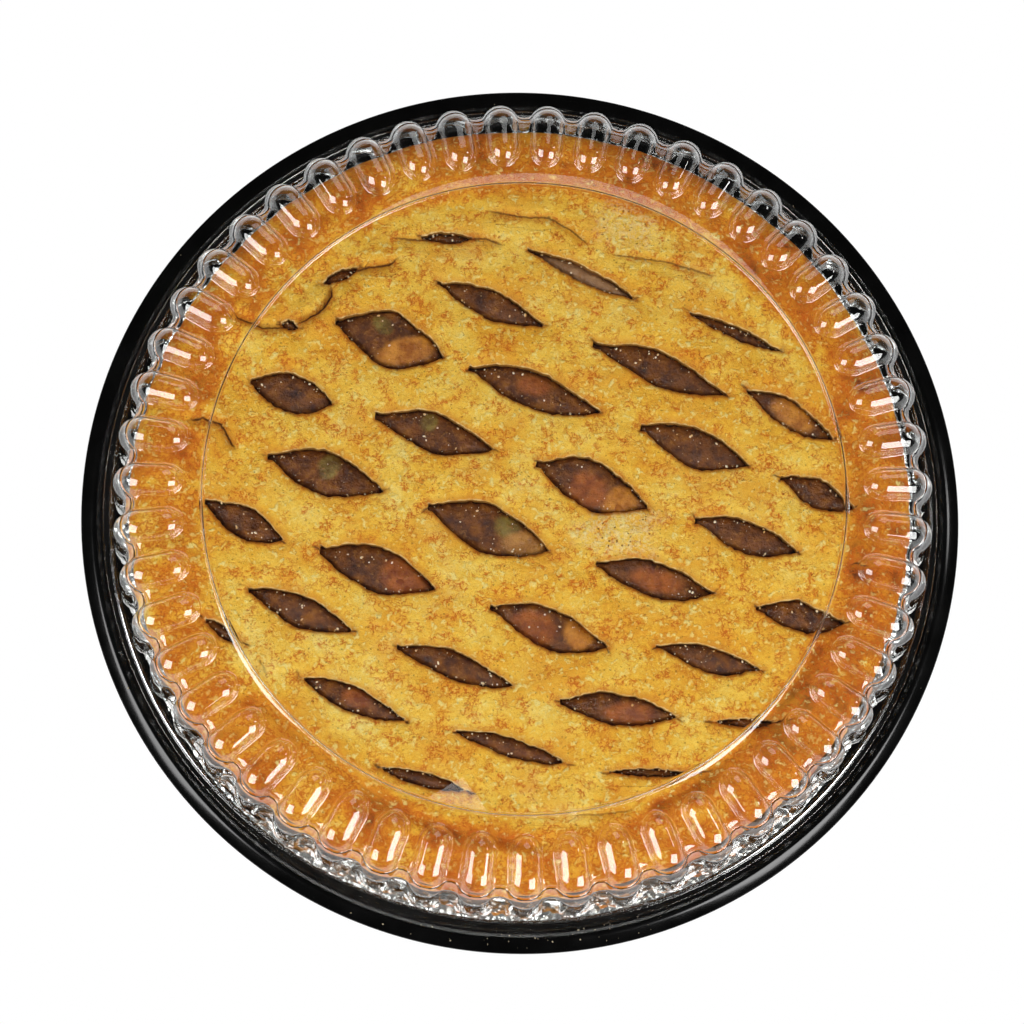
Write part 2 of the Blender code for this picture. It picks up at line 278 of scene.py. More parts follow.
def uneven(x: Array, y: Array, *layers: Layer) -> Array:
    """Sum of several unevennesses.

    Args:
        x: First coordinate of each place.
        y: Second coordinate of each place.
        *layers: Strength, size and seed of each.

    Returns:
        One value for each place.
    """
    return sum(strength * lumps(x, y, size * MM, seed) for strength, size, seed in layers)


def fade(values: Array, low: float, high: float) -> Array:
    """Smooth step.

    Args:
        values: What is compared.
        low: Where the step starts, at 0.
        high: Where the step ends, at 1.

    Returns:
        One share for each value.
    """
    share = np.clip((values - low) / (high - low), 0.0, 1.0)
    return share * share * (3.0 - 2.0 * share)


def face_centres(piece: Piece) -> Array:
    """Middle of each face of a mesh of quadrilaterals.

    Args:
        piece: A mesh object at the origin.

    Returns:
        One row of x, y for each face.
    """
    loops = np.empty(len(piece.data.polygons) * 4, int)
    piece.data.loops.foreach_get("vertex_index", loops)
    return coords(piece)[loops.reshape(-1, 4)].mean(1)[:, :2]


def delete_faces(piece: Piece, drop: Array) -> None:
    """Delete some faces of a piece, with the edges and vertices that only they used.

    Args:
        piece: The object.
        drop: True for each face to delete.
    """
    open_at(piece, "FACE", drop)
    bpy.ops.mesh.delete(type="FACE")
    put_down()


def round_grid(name: str, radius: float, step: float) -> Piece:
    """A flat grid trimmed to a circle.

    Args:
        name: The piece's name.
        radius: The circle's radius.
        step: Distance between the grid's lines.

    Returns:
        The grid, at height zero.
    """
    half = radius + step
    count = int(2.0 * half / step)
    deselect_all()
    bpy.ops.mesh.primitive_grid_add(x_subdivisions=count, y_subdivisions=count, size=2.0 * half)
    piece = new_piece(name)
    centres = face_centres(piece)
    delete_faces(piece, np.hypot(centres[:, 0], centres[:, 1]) > radius)
    return piece


def edge_table(piece: Piece) -> tuple[Array, Array]:
    """Edges of a mesh, and which of them are open.

    Args:
        piece: A mesh object.

    Returns:
        One row of two vertex numbers for each edge, and True for each edge with only one face.
    """
    mesh = piece.data
    edges, used = np.empty(len(mesh.edges) * 2, int), np.empty(len(mesh.loops), int)
    mesh.edges.foreach_get("vertices", edges)
    mesh.loops.foreach_get("edge_index", used)
    return edges.reshape(-1, 2), np.bincount(used, minlength=len(mesh.edges)) == 1


def boundary_edges(piece: Piece) -> Array:
    """Vertex pairs of the edges with only one face."""
    edges, is_open = edge_table(piece)
    return edges[is_open]


def edge_loops(edges: Array) -> list[list[int]]:
    """Closed loops that simple boundary edges make.

    Args:
        edges: One row of two vertex numbers for each edge, each vertex in two of them.

    Returns:
        The vertex numbers of each loop, in order.
    """
    beside: dict[int, list[int]] = {}
    for a, b in edges.tolist():
        beside.setdefault(a, []).append(b)
        beside.setdefault(b, []).append(a)
    loops, left = [], set(beside)
    while left:
        loop, ahead = [], [left.pop()]
        while ahead:
            loop.append(ahead[0])
            left.discard(ahead[0])
            ahead = [v for v in beside[loop[-1]] if v in left]
        loops.append(loop)
    return loops


def inside(points: Array, outline: Array) -> Array:
    """Which points lie inside a closed outline.

    Args:
        points: One row of x, y for each point.
        outline: One row of x, y for each corner, in order.

    Returns:
        True for each point inside.
    """
    found = np.zeros(len(points), bool)
    near = np.nonzero(((points > outline.min(0)) & (points < outline.max(0))).all(1))[0]
    px, py = points[near, 0], points[near, 1]
    hit = np.zeros(len(near), bool)
    for (x0, y0), (x1, y1) in zip(outline, np.roll(outline, -1, 0)):
        crosses = (y0 > py) != (y1 > py)
        if crosses.any():
            hit ^= crosses & (px < x0 + (py - y0) * (x1 - x0) / (y1 - y0 + 1e-15))
    found[near] = hit
    return found


def inside_any(points: Array, outlines: Sequence[Array]) -> Array:
    """Which points lie inside at least one of several closed outlines."""
    return np.any([inside(points, outline) for outline in outlines], axis=0)


def dense(outline: Array, times: int) -> Array:
    """An outline with each of its straight pieces cut into a number of equal ones."""
    ahead = np.roll(outline, -1, 0)
    return np.concatenate([outline + share / times * (ahead - outline) for share in range(times)])


def part_pinches(piece: Piece) -> None:
    """Delete a face at each vertex where two openings touch, so that every edge line is simple.

    Args:
        piece: A sheet with openings.
    """
    shape = bmesh.new()
    shape.from_mesh(piece.data)
    pinched = True
    while pinched:
        pinched = {v.link_faces[0] for v in shape.verts if sum(e.is_boundary for e in v.link_edges) > 2}
        bmesh.ops.delete(shape, geom=list(pinched), context="FACES")
    shape.to_mesh(piece.data)
    shape.free()


def close_underside(piece: Piece) -> None:
    """Close the open lower edges with triangles, leaving the openings open.

    Args:
        piece: A sheet whose lower boundaries have been dropped as walls.
    """
    places, edges = coords(piece), boundary_edges(piece)
    used = np.unique(edges)
    number = {int(v): i for i, v in enumerate(used)}
    flat = [Vector(places[v, :2] / MM) for v in used]
    lines = [(number[int(a)], number[int(b)]) for a, b in edges]
    points, _, faces, sources, _, _ = delaunay_2d_cdt(flat, lines, [], 1, 1e-6)
    centres = np.array([np.mean([points[v] for v in face], 0) for face in faces]) * MM
    holes = sorted(edge_loops(edges), key=len)[:-1]
    in_opening = inside_any(centres, [places[loop, :2] for loop in holes])
    shape = bmesh.new()
    shape.from_mesh(piece.data)
    shape.verts.ensure_lookup_table()
    for face, skip in zip(faces, in_opening):
        corners = [int(used[sources[v][0]]) for v in face if sources[v]]
        if not skip and len(set(corners)) == 3:
            shape.faces.new([shape.verts[v] for v in corners])
    shape.to_mesh(piece.data)
    shape.free()


# ---------------------------------------------------------------- finishes


def linear(hex_colour: str) -> tuple[float, float, float, float]:
    """Linear colour of an sRGB hex value.

    Args:
        hex_colour: Six hex digits.

    Returns:
        Red, green, blue and alpha for a shader socket.
    """
    channels = [int(hex_colour[start:start + 2], 16) / 255.0 for start in (0, 2, 4)]
    return (*(c / 12.92 if c <= 0.04045 else ((c + 0.055) / 1.055) ** 2.4 for c in channels), 1.0)


class Recipe:
    """The node tree of a material or of the room, with the single function that adds a node."""

    def __init__(self, owner: bpy.types.ID) -> None:
        """Start with an empty node tree.

        Args:
            owner: A new material or world, with its real name.
        """
        self.owner = owner
        owner.use_nodes = True
        self.tree = owner.node_tree
        self.tree.nodes.clear()

    def add(self, kind: str, *inputs: object, stops: Sequence[tuple[float, str]] = (),
            **values: object) -> bpy.types.Node:
        """Add a node, set its properties, and fill or link its inputs.

        Args:
            kind: The node's type name after "ShaderNode".
            *inputs: What goes into its first inputs in use, in order: a value, a hex colour, a
                socket, or a node whose first output in use is meant.
            stops: A colour ramp's (place, hex colour), from low to high.
            **values: The node's properties, and inputs by name with underscores for spaces.

        Returns:
            The new node.
        """
        node = self.tree.nodes.new("ShaderNode" + kind)
        for key in [key for key in values if hasattr(node, key)]:
            setattr(node, key, values.pop(key))
        filled = list(zip([socket for socket in node.inputs if socket.enabled], inputs))
        filled += [(node.inputs[key.replace("_", " ")], value) for key, value in values.items()]
        for socket, value in filled:
            if isinstance(value, bpy.types.Node):
                value = next(output for output in value.outputs if output.enabled)
            if isinstance(value, bpy.types.NodeSocket):
                self.tree.links.new(value, socket)
            else:
                socket.default_value = linear(value) if isinstance(value, str) else value
        if stops:
            elements = node.color_ramp.elements
            while len(elements) < len(stops):
                elements.new(0.5)
            for element, (place, colour) in zip(elements, stops):
                element.position, element.color = place, linear(colour)
        return node

    def finish(self, surface: bpy.types.Node) -> bpy.types.ID:
        """Link the shader to the output.

        Args:
            surface: The shader's node.

        Returns:
            The finished material or world.
        """
        self.add("Output" + type(self.owner).__name__, surface)
        return self.owner


@dataclass(frozen=True)
class BakedShortcrust:
    """Egg-washed shortcrust: matt golden dough with browner flakes, fine cracks and crumbs."""

    mottle_mm: float = 11.0     # broad patches of deeper and lighter bake
    glow_mm: float = 15.0       # orange patches
    cluster_mm: float = 4.6     # clusters of toasted flecks
    warp_mm: float = 2.6        # bends of the flecks
    spread_mm: float = 1.8      # how far the flecks wander
    fleck_mm: float = 1.9       # winding flecks and flakes
    grain_mm: float = 1.25      # crumb of the dough
    pore_mm: float = 1.3        # spacing of the pores
    relief_mm: float = 0.85

    def make(self) -> bpy.types.Material:
        """Build the material.

        Returns:
            The crust's material.
        """
        r = Recipe(bpy.data.materials.new("baked_shortcrust"))
        place = r.add("TexCoord").outputs["Object"]
        warp = r.add("TexNoise", place, Scale=1.0 / (self.warp_mm * MM)).outputs["Color"]
        moved = r.add("VectorMath", warp, [self.spread_mm * MM] * 3, place, operation="MULTIPLY_ADD")
        broad, cluster, grain, worms, glow = (
            r.add("TexNoise", at, Scale=1.0 / (size_mm * MM), Detail=detail, Roughness=rough)
            for at, size_mm, detail, rough in (
                (place, self.mottle_mm, 3.0, 0.6), (place, self.cluster_mm, 3.0, 0.6),
                (place, self.grain_mm, 4.0, 0.75), (moved, self.fleck_mm, 3.0, 0.6),
                (moved, self.glow_mm, 2.0, 0.5),
            )
        )
        rim, crumb = (
            r.add("Attribute", attribute_name=name).outputs["Fac"] for name in ("rim", "crumb")
        )
        line = r.add("Math", r.add("Math", worms, 0.5, operation="SUBTRACT"), operation="ABSOLUTE")
        cluster = r.add("Math", rim, 0.12, cluster, operation="MULTIPLY_ADD")
        toasted = r.add("Math", r.add("MapRange", line, 0.012, 0.055, 1.0, 0.0),
                        r.add("MapRange", cluster, 0.46, 0.60, 0.08, 0.9), operation="MULTIPLY")
        pale = r.add("Math", r.add("MapRange", worms, 0.57, 0.65, 0.0, 0.9),
                     r.add("MapRange", cluster, 0.62, 0.45, 0.35, 1.0), operation="MULTIPLY")
        broken = r.add("Math", crumb, r.add("MapRange", grain, 0.45, 0.60, 0.0, 0.75), operation="MULTIPLY")
        # pores: small pits painted dark, as painted shade in them
        pores = r.add("TexVoronoi", moved, Scale=1.0 / (self.pore_mm * MM), feature="F1")
        pore = r.add("Math", r.add("MapRange", pores, 0.12, 0.26, 1.0, 0.0),
                     r.add("MapRange", pores.outputs["Color"], 0.50, 0.64, 0.0, 1.0), operation="MULTIPLY")
        pore = r.add("Math", pore, r.add("Math", crumb, 0.5, 0.5, operation="MULTIPLY_ADD"),
                     operation="MULTIPLY")
        edges, crack = self.edges(r, worms)
        colour = self.dough(r, broad, grain)
        for share, hue in (
            (r.add("MapRange", glow, 0.48, 0.63, 0.0, 0.5), "E89C28"),
            (r.add("MapRange", cluster, 0.53, 0.70, 0.0, 0.5), "E48C1C"),
            (toasted, "C85C08"), (pale, "FAE088"), (broken, "F8E0A0"), (pore, "7A4012"), *edges,
        ):
            colour = r.add("Mix", share, colour, hue, data_type="RGBA")
        height = grain
        for layer, share in ((line, 1.6), (worms, 0.9), (crack, -0.5), (pore, -0.5)):
            height = r.add("Math", layer, share, height, operation="MULTIPLY_ADD")
        bump = r.add("Bump", Strength=1.0, Distance=self.relief_mm * MM, Height=height)
        return r.finish(r.add("BsdfPrincipled", Base_Color=colour, Roughness=0.5, IOR=1.45,
                              Specular_IOR_Level=0.2, Normal=bump))

    def dough(self, r: Recipe, broad: bpy.types.Node, grain: bpy.types.Node) -> bpy.types.Node:
        """Colour of the dough by how deeply it is baked, and by the painted shade in the broad valleys.

        Args:
            r: The material's recipe.
            broad: Pattern of the broad patches.
            grain: Pattern of the crumb.

        Returns:
            The colour's node.
        """
        bake = r.add("Attribute", attribute_name="bake").outputs["Fac"]
        level = r.add("Math", broad, 0.5, -0.25, operation="MULTIPLY_ADD")
        level = r.add("Math", grain, 0.55, level, operation="MULTIPLY_ADD")
        level = r.add("Math", level, -0.30, operation="ADD")
        level = r.add("Math", level, bake, operation="ADD", use_clamp=True)
        return r.add("ValToRGB", level, stops=(
            (0.0, "FCE084"), (0.2, "FACC52"), (0.38, "F2B434"), (0.55, "DE8A1C"),
            (0.75, "BC5C0A"), (1.0, "743404"),
        ))

    def edges(self, r: Recipe, worms: bpy.types.Node) -> tuple[list, bpy.types.Node]:
        """Colours of the openings' lips, with a painted highlight along each upper lip and a darker
        orange-brown band along each lower one, the cut walls, and the thin cracks and folds with painted
        shade in their bottoms.

        Args:
            r: The material's recipe.
            worms: Pattern that makes the lines wander.

        Returns:
            (share, hex colour) of each coat, and how deep in a crack each point is.
        """
        wander = r.add("Math", worms, 1.2, -0.6, operation="MULTIPLY_ADD")
        above, tone, cut, gap, seam = (
            r.add("Attribute", attribute_name=name).outputs["Fac"]
            for name in ("above", "seam_tone", "cut", "gap", "seam")
        )
        gap, seam = (
            r.add("Math", r.add("Math", share, REACH_MM, operation="MULTIPLY"), wander, operation="ADD")
            for share in (gap, seam)
        )
        seam = r.add("Math", seam, operation="ABSOLUTE")
        below = r.add("Math", 1.0, above, operation="SUBTRACT")
        rust, tan, lip_highlight, margin, crack = (
            r.add("Math", r.add("MapRange", away, low, high, most, 0.0), where, operation="MULTIPLY")
            for away, low, high, most, where in (
                (gap, 0.2, 1.2, 0.8, below), (gap, 0.5, 2.2, 0.55, above), (gap, -0.1, 0.35, 0.9, above),
                # seam rows: a browned margin beside each crease and crack, and painted shade in its bottom
                (seam, 0.3, 1.9, 0.6, tone), (seam, 0.12, 0.42, 1.0, tone),
            )
        )
        # lip: painted highlight along the upper lip of each opening
        return [(rust, "BC6414"), (tan, "D08A30"), (lip_highlight, "F6DFA4"), (margin, "C06A1C"),
                (crack, "4A2208"), (cut, "A06A28")], crack


class AppleTint(Enum):
    """Colours that apple takes when it stews: shaded hue and lit hue."""

    AMBER = ("94500E", "CC8426")
    OLIVE = ("5C4014", "86702C")
    TAN = ("94602A", "B47C38")
    RUSSET = ("74340C", "A05418")
    PALE = ("8C6444", "A47A54")


@dataclass(frozen=True)
class CookedFruitJelly:
    """Thickened fruit syrup: brown and wet, so it mirrors the lamps in small glints."""

    cloud_mm: float = 4.0
    bead_mm: float = 1.3
    relief_mm: float = 0.9

    def make(self) -> bpy.types.Material:
        """Build the material.

        Returns:
            The filling's material.
        """
        r = Recipe(bpy.data.materials.new("cooked_fruit_jelly"))
        place = r.add("TexCoord").outputs["Object"]
        cloud = r.add("TexNoise", place, Scale=1.0 / (self.cloud_mm * MM), Detail=5.0, Roughness=0.6)
        beads = r.add("TexNoise", place, Scale=1.0 / (self.bead_mm * MM), Detail=4.0, Roughness=0.65)
        tone = r.add("ValToRGB", cloud, stops=(
            (0.30, "301204"), (0.44, "522604"), (0.56, "6C380A"), (0.70, "8A5012"),
        ))
        for tint in AppleTint:
            shaded, lit = tint.value
            apple = r.add("ValToRGB", cloud, stops=((0.36, shaded), (0.62, lit)))
            share = r.add("Attribute", attribute_name=tint.name.lower()).outputs["Fac"]
            tone = r.add("Mix", share, tone, apple, data_type="RGBA")
        # painted shade on the jelly beside the dough's edge
        share = r.add("Attribute", attribute_name="edge").outputs["Fac"]
        tone = r.add("Mix", share, tone, "260E02", data_type="RGBA")
        fleck = r.add("MapRange", beads, 0.56, 0.68, 0.0, 0.6)
        tone = r.add("Mix", fleck, tone, "A0662A", data_type="RGBA")
        bump = r.add("Bump", Strength=1.0, Distance=self.relief_mm * MM, Height=beads)
        return r.finish(r.add("BsdfPrincipled", Base_Color=tone, Roughness=0.12, IOR=1.42, Normal=bump))


@dataclass(frozen=True)
class StewedApple:
    """Soft, wet apple, whose edges sink away into the brown jelly."""

    tint: AppleTint
    fibre_mm: float = 2.2
    relief_mm: float = 0.5

    def make(self) -> bpy.types.Material:
        """Build the material.

        Returns:
            The apple's material.
        """
        r = Recipe(bpy.data.materials.new("stewed_apple_" + self.tint.name.lower()))
        place = r.add("TexCoord").outputs["Object"]
        fibre = r.add("TexNoise", place, Scale=1.0 / (self.fibre_mm * MM), Detail=4.0, Roughness=0.6)
        shaded, lit = self.tint.value
        flesh = r.add("ValToRGB", fibre, stops=((0.32, shaded), (0.66, lit)))
        bare = r.add("Math", r.add("Attribute", attribute_name="bare").outputs["Fac"],
                     r.add("MapRange", fibre, 0.25, 0.6, 0.55, 1.0), operation="MULTIPLY")
        colour = r.add("Mix", bare, shaded, flesh, data_type="RGBA")
        bump = r.add("Bump", Strength=0.8, Distance=self.relief_mm * MM, Height=fibre)
        return r.finish(r.add("BsdfPrincipled", Base_Color=colour, Roughness=0.2, IOR=1.40, Normal=bump))


@dataclass(frozen=True)
class BrightFoil:
    """Rolled aluminium foil: bright metal whose crinkles break its reflections up."""

    crinkle_mm: float = 2.2
    relief_mm: float = 0.8

    def make(self) -> bpy.types.Material:
        """Build the material.

        Returns:
            The foil's material.
        """
        r = Recipe(bpy.data.materials.new("rolled_aluminium_foil"))
        place = r.add("TexCoord").outputs["Object"]
        creases = r.add("TexVoronoi", place, Scale=1.0 / (self.crinkle_mm * MM), feature="F1")
        bump = r.add("Bump", Strength=1.0, Distance=self.relief_mm * MM, Height=creases)
        rough = r.add("MapRange", creases, 0.0, 1.0, 0.14, 0.28)
        return r.finish(r.add("BsdfPrincipled", Base_Color="ECECEC", Metallic=1.0, Roughness=rough,
                              Normal=bump))


@dataclass(frozen=True)
class BlackTraySheet:
    """Thermoformed black polystyrene: deep black and glossy, with a faint drawn haze."""

    haze_mm: float = 9.0

    def make(self) -> bpy.types.Material:
        """Build the material.

        Returns:
            The tray's material.
        """
        r = Recipe(bpy.data.materials.new("thermoformed_black_polystyrene"))
        place = r.add("TexCoord").outputs["Object"]
        haze = r.add("TexNoise", place, Scale=1.0 / (self.haze_mm * MM), Detail=3.0)
        colour = r.add("ValToRGB", haze, stops=((0.3, "020202"), (0.7, "060606")))
        rough = r.add("MapRange", haze, 0.0, 1.0, 0.10, 0.20)
        return r.finish(r.add("BsdfPrincipled", Base_Color=colour, Roughness=rough, IOR=1.5))


@dataclass(frozen=True)
class ClearDomeSheet:
    """Clear PET sheet: glassy, bends and mirrors like the real thin wall, and lets lamps through."""

    ripple_mm: float = 14.0
    relief_mm: float = 0.2

    def make(self) -> bpy.types.Material:
        """Build the material.

        Returns:
            The dome's material.
        """
        r = Recipe(bpy.data.materials.new("clear_pet_sheet"))
        place = r.add("TexCoord").outputs["Object"]
        ripple = r.add("TexNoise", place, Scale=1.0 / (self.ripple_mm * MM), Detail=1.0)
        bump = r.add("Bump", Strength=0.08, Distance=self.relief_mm * MM, Height=ripple)
        glass = r.add("BsdfPrincipled", Base_Color="FBFCFB", Roughness=0.0, IOR=1.57,
                      Transmission_Weight=1.0, Normal=bump)
        path = r.add("LightPath").outputs
        passing = r.add("Math", path["Is Shadow Ray"], path["Is Diffuse Ray"], operation="MAXIMUM")
        clear = r.add("BsdfTransparent", Color="F7F8F7")
        return r.finish(r.add("MixShader", passing, glass, clear))


@dataclass(frozen=True)
class PastryCrumb:
    """Dry crumbs of baked dough: matt, and lighter on their broken faces."""

    dark: str
    light: str
    tone_mm: float = 1.5

    def make(self) -> bpy.types.Material:
        """Build the material.

        Returns:
            The crumbs' material.
        """
        r = Recipe(bpy.data.materials.new("dry_pastry_crumb"))
        place = r.add("TexCoord").outputs["Object"]
        tone = r.add("TexNoise", place, Scale=1.0 / (self.tone_mm * MM))
        colour = r.add("ValToRGB", tone, stops=((0.38, self.dark), (0.58, self.light)))
        return r.finish(r.add("BsdfPrincipled", Base_Color=colour, Roughness=0.6))


@dataclass(frozen=True)
class PaleFloor:
    """White board under the pie: bright where it is seen or mirrored, mid-grey to diffuse light."""

    seen: float = 1.0           # brightness that the camera, mirrors and clear walls see
    returned: str = "A8A8A8"

    def make(self) -> bpy.types.Material:
        """Build the material.

        Returns:
            The floor's material.
        """
        r = Recipe(bpy.data.materials.new("matt_white_board"))
        board = r.add("BsdfPrincipled", Base_Color=self.returned, Roughness=0.9)
        white = r.add("Emission", Color="FFFFFF", Strength=self.seen)
        diffuse = r.add("LightPath").outputs["Is Diffuse Ray"]
        return r.finish(r.add("MixShader", diffuse, white, board))


def hand_over(piece: Piece, sharp_deg: float, finish: object, slot: str, *nodes: str) -> None:
    """Shade and dress a finished piece, ride it on the pie's one body, and hide the CAD parts that it
    replaces.

    Args:
        piece: The finished object.
        sharp_deg: Edges bent more than this stay sharp.
        finish: The finish that it wears all over.
        slot: Not used.
        *nodes: CAD nodes that it replaces.
    """
    take_up(piece)
    bpy.ops.object.shade_smooth_by_angle(angle=math.radians(sharp_deg))
    piece.data.materials.clear()
    piece.data.materials.append(finish.make())
    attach(piece, "root")
    if nodes:
        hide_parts(*nodes)
    log.info("%s: %d faces", piece.name, len(piece.data.polygons))


# ---------------------------------------------------------------- black carry tray


@dataclass
class CarryTray:
    """Deep black tray with a ledge for the foil rim, a seat for the dome and a low bead."""

    sides: int = 256
    sheet: float = 0.7 * MM
    middle: float = 30.0 * MM
    floor_radius: float = 95.0 * MM
    corner: Point2 = (98.3 * MM, 2.9 * MM)
    ledge_drop: float = 5.3 * MM
    ledge_inner: float = 115.8 * MM
    ledge_outer: float = 122.3 * MM
    seat_inner: float = 123.3 * MM
    seat_outer: float = 127.4 * MM
    seat_drop: float = 0.1 * MM
    bead_inner: float = 128.0 * MM
    bead_outer: float = 129.4 * MM
    bead_rise: float = 0.5 * MM
    radius: float = 133.0 * MM
    lip_fall: float = 1.4 * MM
    bend: float = 0.3 * MM      # radius of the formed edges

    def profile(self) -> list[Point2]:
        """Upper face of the tray.

        Returns:
            (radius, height) of each ring, from the middle out.
        """
        ledge, seat, top = LIP - self.ledge_drop, LIP - self.seat_drop, LIP + self.bead_rise
        b = self.bend
        return [
            (self.middle, self.sheet), (self.floor_radius - 2.0 * MM, self.sheet),
            (self.floor_radius, self.sheet + b), self.corner,
            (self.ledge_inner - 3.0 * b, ledge - 5.0 * b), (self.ledge_inner, ledge),
            (self.ledge_outer - b, ledge), (self.ledge_outer, ledge + b),
            (self.seat_inner - b, seat - 2.0 * b), (self.seat_inner + b, seat),
            (self.seat_outer - b, seat), (self.seat_outer, seat + 0.3 * b),
            (self.bead_inner, top - 0.5 * b), (self.bead_inner + b, top),
            (self.bead_outer - b, top), (self.bead_outer + b, top - 0.5 * b),
            (self.bead_outer + 3.0 * b, LIP), (self.radius - 2.0 * b, LIP),
            (self.radius - 0.5 * b, LIP - 0.3 * b), (self.radius, LIP - b),
            (self.radius, LIP - self.lip_fall),
        ]

    def build(self) -> None:
        """Model and dress the tray."""
        piece = rings_outward("carry_tray", self.profile(), self.sides)
        apply_modifier(piece, "SOLIDIFY", thickness=self.sheet, offset=-1.0, use_even_offset=True)
        hand_over(piece, 35.0, BlackTraySheet(), "black_plastic", "tray")


# ---------------------------------------------------------------- foil pan


@dataclass
class FoilPan:
    """Thin foil pan with a rolled rim, crumpled where it was pressed round the dough."""

    lean: Point2                    # how far the rim was pressed to one side
    sides: int = 600
    sheet: float = 0.3 * MM
    middle: float = 30.0 * MM
    floor_height: float = 1.55 * MM
    floor_radius: float = 90.0 * MM
    corner_rise: float = 1.5 * MM
    mouth_radius: float = 115.6 * MM
    rim_radius: float = 121.0 * MM
    rim_drop: float = 2.8 * MM
    roll: float = 1.1 * MM
    crinkle: float = 0.5 * MM
    spread: float = 3.4 * MM        # how far the near rim was pushed out, over the tray's seat
    lift: float = 3.0 * MM

    def profile(self) -> list[Point2]:
        """Inner face of the pan.

        Returns:
            (radius, height) of each ring, from the middle out.
        """
        rim = LIP - self.rim_drop
        middle = self.rim_radius - self.roll
        turn = [
            (middle + self.roll * math.sin(a), rim - self.roll + self.roll * math.cos(a))
            for a in (math.radians(d) for d in range(0, 181, 30))
        ]
        flat = [(self.mouth_radius + share * (middle - self.mouth_radius), rim)
                for share in (0.15, 0.4, 0.6, 0.8)]
        return [
            (self.middle, self.floor_height), (self.floor_radius, self.floor_height),
            (self.floor_radius + 2.5 * MM, self.floor_height + self.corner_rise),
            (0.45 * self.floor_radius + 0.55 * self.mouth_radius, 0.5 * (rim + self.floor_height)),
            (self.mouth_radius, rim - 0.2 * MM), *flat, *turn,
        ]

    def crumple(self, places: Array) -> None:
        """Crinkle the rim, lean it, and bend its near side out and up on to the tray's seat.

        Args:
            places: One row of x, y, z for each vertex, which is changed.
        """
        round_the_pan = np.arctan2(places[:, 1], places[:, 0]) * self.rim_radius
        radius = np.hypot(places[:, 0], places[:, 1])
        wave = uneven(round_the_pan, radius, (1.0, 2.6, 11), (0.7, 1.3, 12))
        places[:, 2] += self.crinkle * fade(radius, 95.0 * MM, 117.0 * MM) * (0.6 * wave - 1.0)
        places[:, :2] += fade(radius, 92.0 * MM, 112.0 * MM)[:, None] * np.array(self.lean)
        near = fade(-places[:, 1] / radius, 0.25, 0.9) * fade(radius, 114.0 * MM, 119.5 * MM)
        places[:, :2] *= (1.0 + near * self.spread / radius)[:, None]
        places[:, 2] += near * self.lift
        on_seat = near * fade(radius, 119.0 * MM, 120.0 * MM)
        places[:, 2] += on_seat * np.maximum(LIP - 0.1 * self.sheet - places[:, 2], 0.0)

    def build(self) -> None:
        """Model and dress the pan."""
        piece = rings_outward("foil_pan_crinkled", self.profile(), self.sides)
        places = coords(piece)
        self.crumple(places)
        set_coords(piece, places)
        apply_modifier(piece, "SOLIDIFY", thickness=self.sheet, offset=-1.0, use_even_offset=False)
        hand_over(piece, 30.0, BrightFoil(), "foil", "foil_pan")


# ---------------------------------------------------------------- lattice


@dataclass(frozen=True)
class Laid:
    """How one hand-laid opening differs from the even lattice."""

    right: float        # shift, mm
    up: float           # shift, mm
    length: float       # share
    width: float        # share
    turn: float         # degrees


# By row, counted down from the first opening, and place along the row, counted to the right
LAID = {
    (-4, 1): Laid(3.5, 0.0, 0.50, 0.70, 24.0), (-4, 2): Laid(-1.0, 0.0, 1.06, 1.05, 1.0),
    (-4, 3): Laid(1.5, -0.8, 0.94, 0.80, 4.0), (-3, 0): Laid(-0.5, 0.3, 0.42, 0.45, 50.0),
    (-3, 1): Laid(1.5, 0.5, 1.00, 0.95, 2.0), (-3, 2): Laid(4.6, -4.2, 1.22, 1.08, 4.0),
    (-3, 3): Laid(2.0, 0.0, 1.00, 1.00, -5.0), (-2, -1): Laid(9.5, -1.2, 0.22, 0.35, 5.0),
    (-2, 0): Laid(2.0, 2.2, 1.04, 1.50, 4.0), (-2, 1): Laid(-2.7, 0.3, 1.12, 0.95, 4.0),
    (-2, 2): Laid(-2.6, 0.0, 1.00, 1.05, 5.0), (-2, 3): Laid(-2.4, 2.0, 0.90, 0.95, 0.0),
    (-1, -1): Laid(1.0, -0.4, 0.88, 1.10, 6.0), (-1, 0): Laid(-0.5, 0.3, 1.00, 0.87, 5.0),
    (-1, 1): Laid(-3.4, 0.3, 0.96, 1.03, 0.0), (-1, 2): Laid(-2.1, 0.7, 1.04, 0.85, 5.0),
    (0, -1): Laid(-2.2, 1.4, 1.08, 1.05, 3.0), (0, 0): Laid(-2.0, 0.3, 1.00, 1.02, 0.0),
    (0, 1): Laid(-1.6, 0.8, 1.04, 0.80, 7.0), (0, 2): Laid(2.6, 1.6, 1.00, 0.90, 10.0),
    (1, -2): Laid(-0.9, -0.7, 0.90, 0.93, -8.0), (1, -1): Laid(-3.1, 0.9, 1.00, 1.12, 0.0),
    (1, 0): Laid(-1.7, -0.4, 1.00, 0.93, 0.0), (1, 1): Laid(0.4, 3.0, 1.04, 0.70, 7.0),
    (2, -2): Laid(2.0, -0.5, 1.04, 1.08, -5.0), (2, -1): Laid(2.0, 0.1, 0.99, 0.85, -2.0),
    (2, 0): Laid(2.8, 1.1, 1.04, 1.00, 10.0), (2, 1): Laid(1.5, 4.2, 0.75, 0.30, 17.0),
    (3, -3): Laid(0.0, 1.5, 0.45, 0.60, -18.0), (3, -2): Laid(0.8, -0.2, 1.03, 1.25, -6.0),
    (3, -1): Laid(1.3, 1.0, 1.00, 0.95, 0.0), (3, 0): Laid(-1.0, 2.4, 0.80, 0.42, 16.0),
    (4, -2): Laid(4.0, -0.6, 0.85, 1.25, 0.0),
}


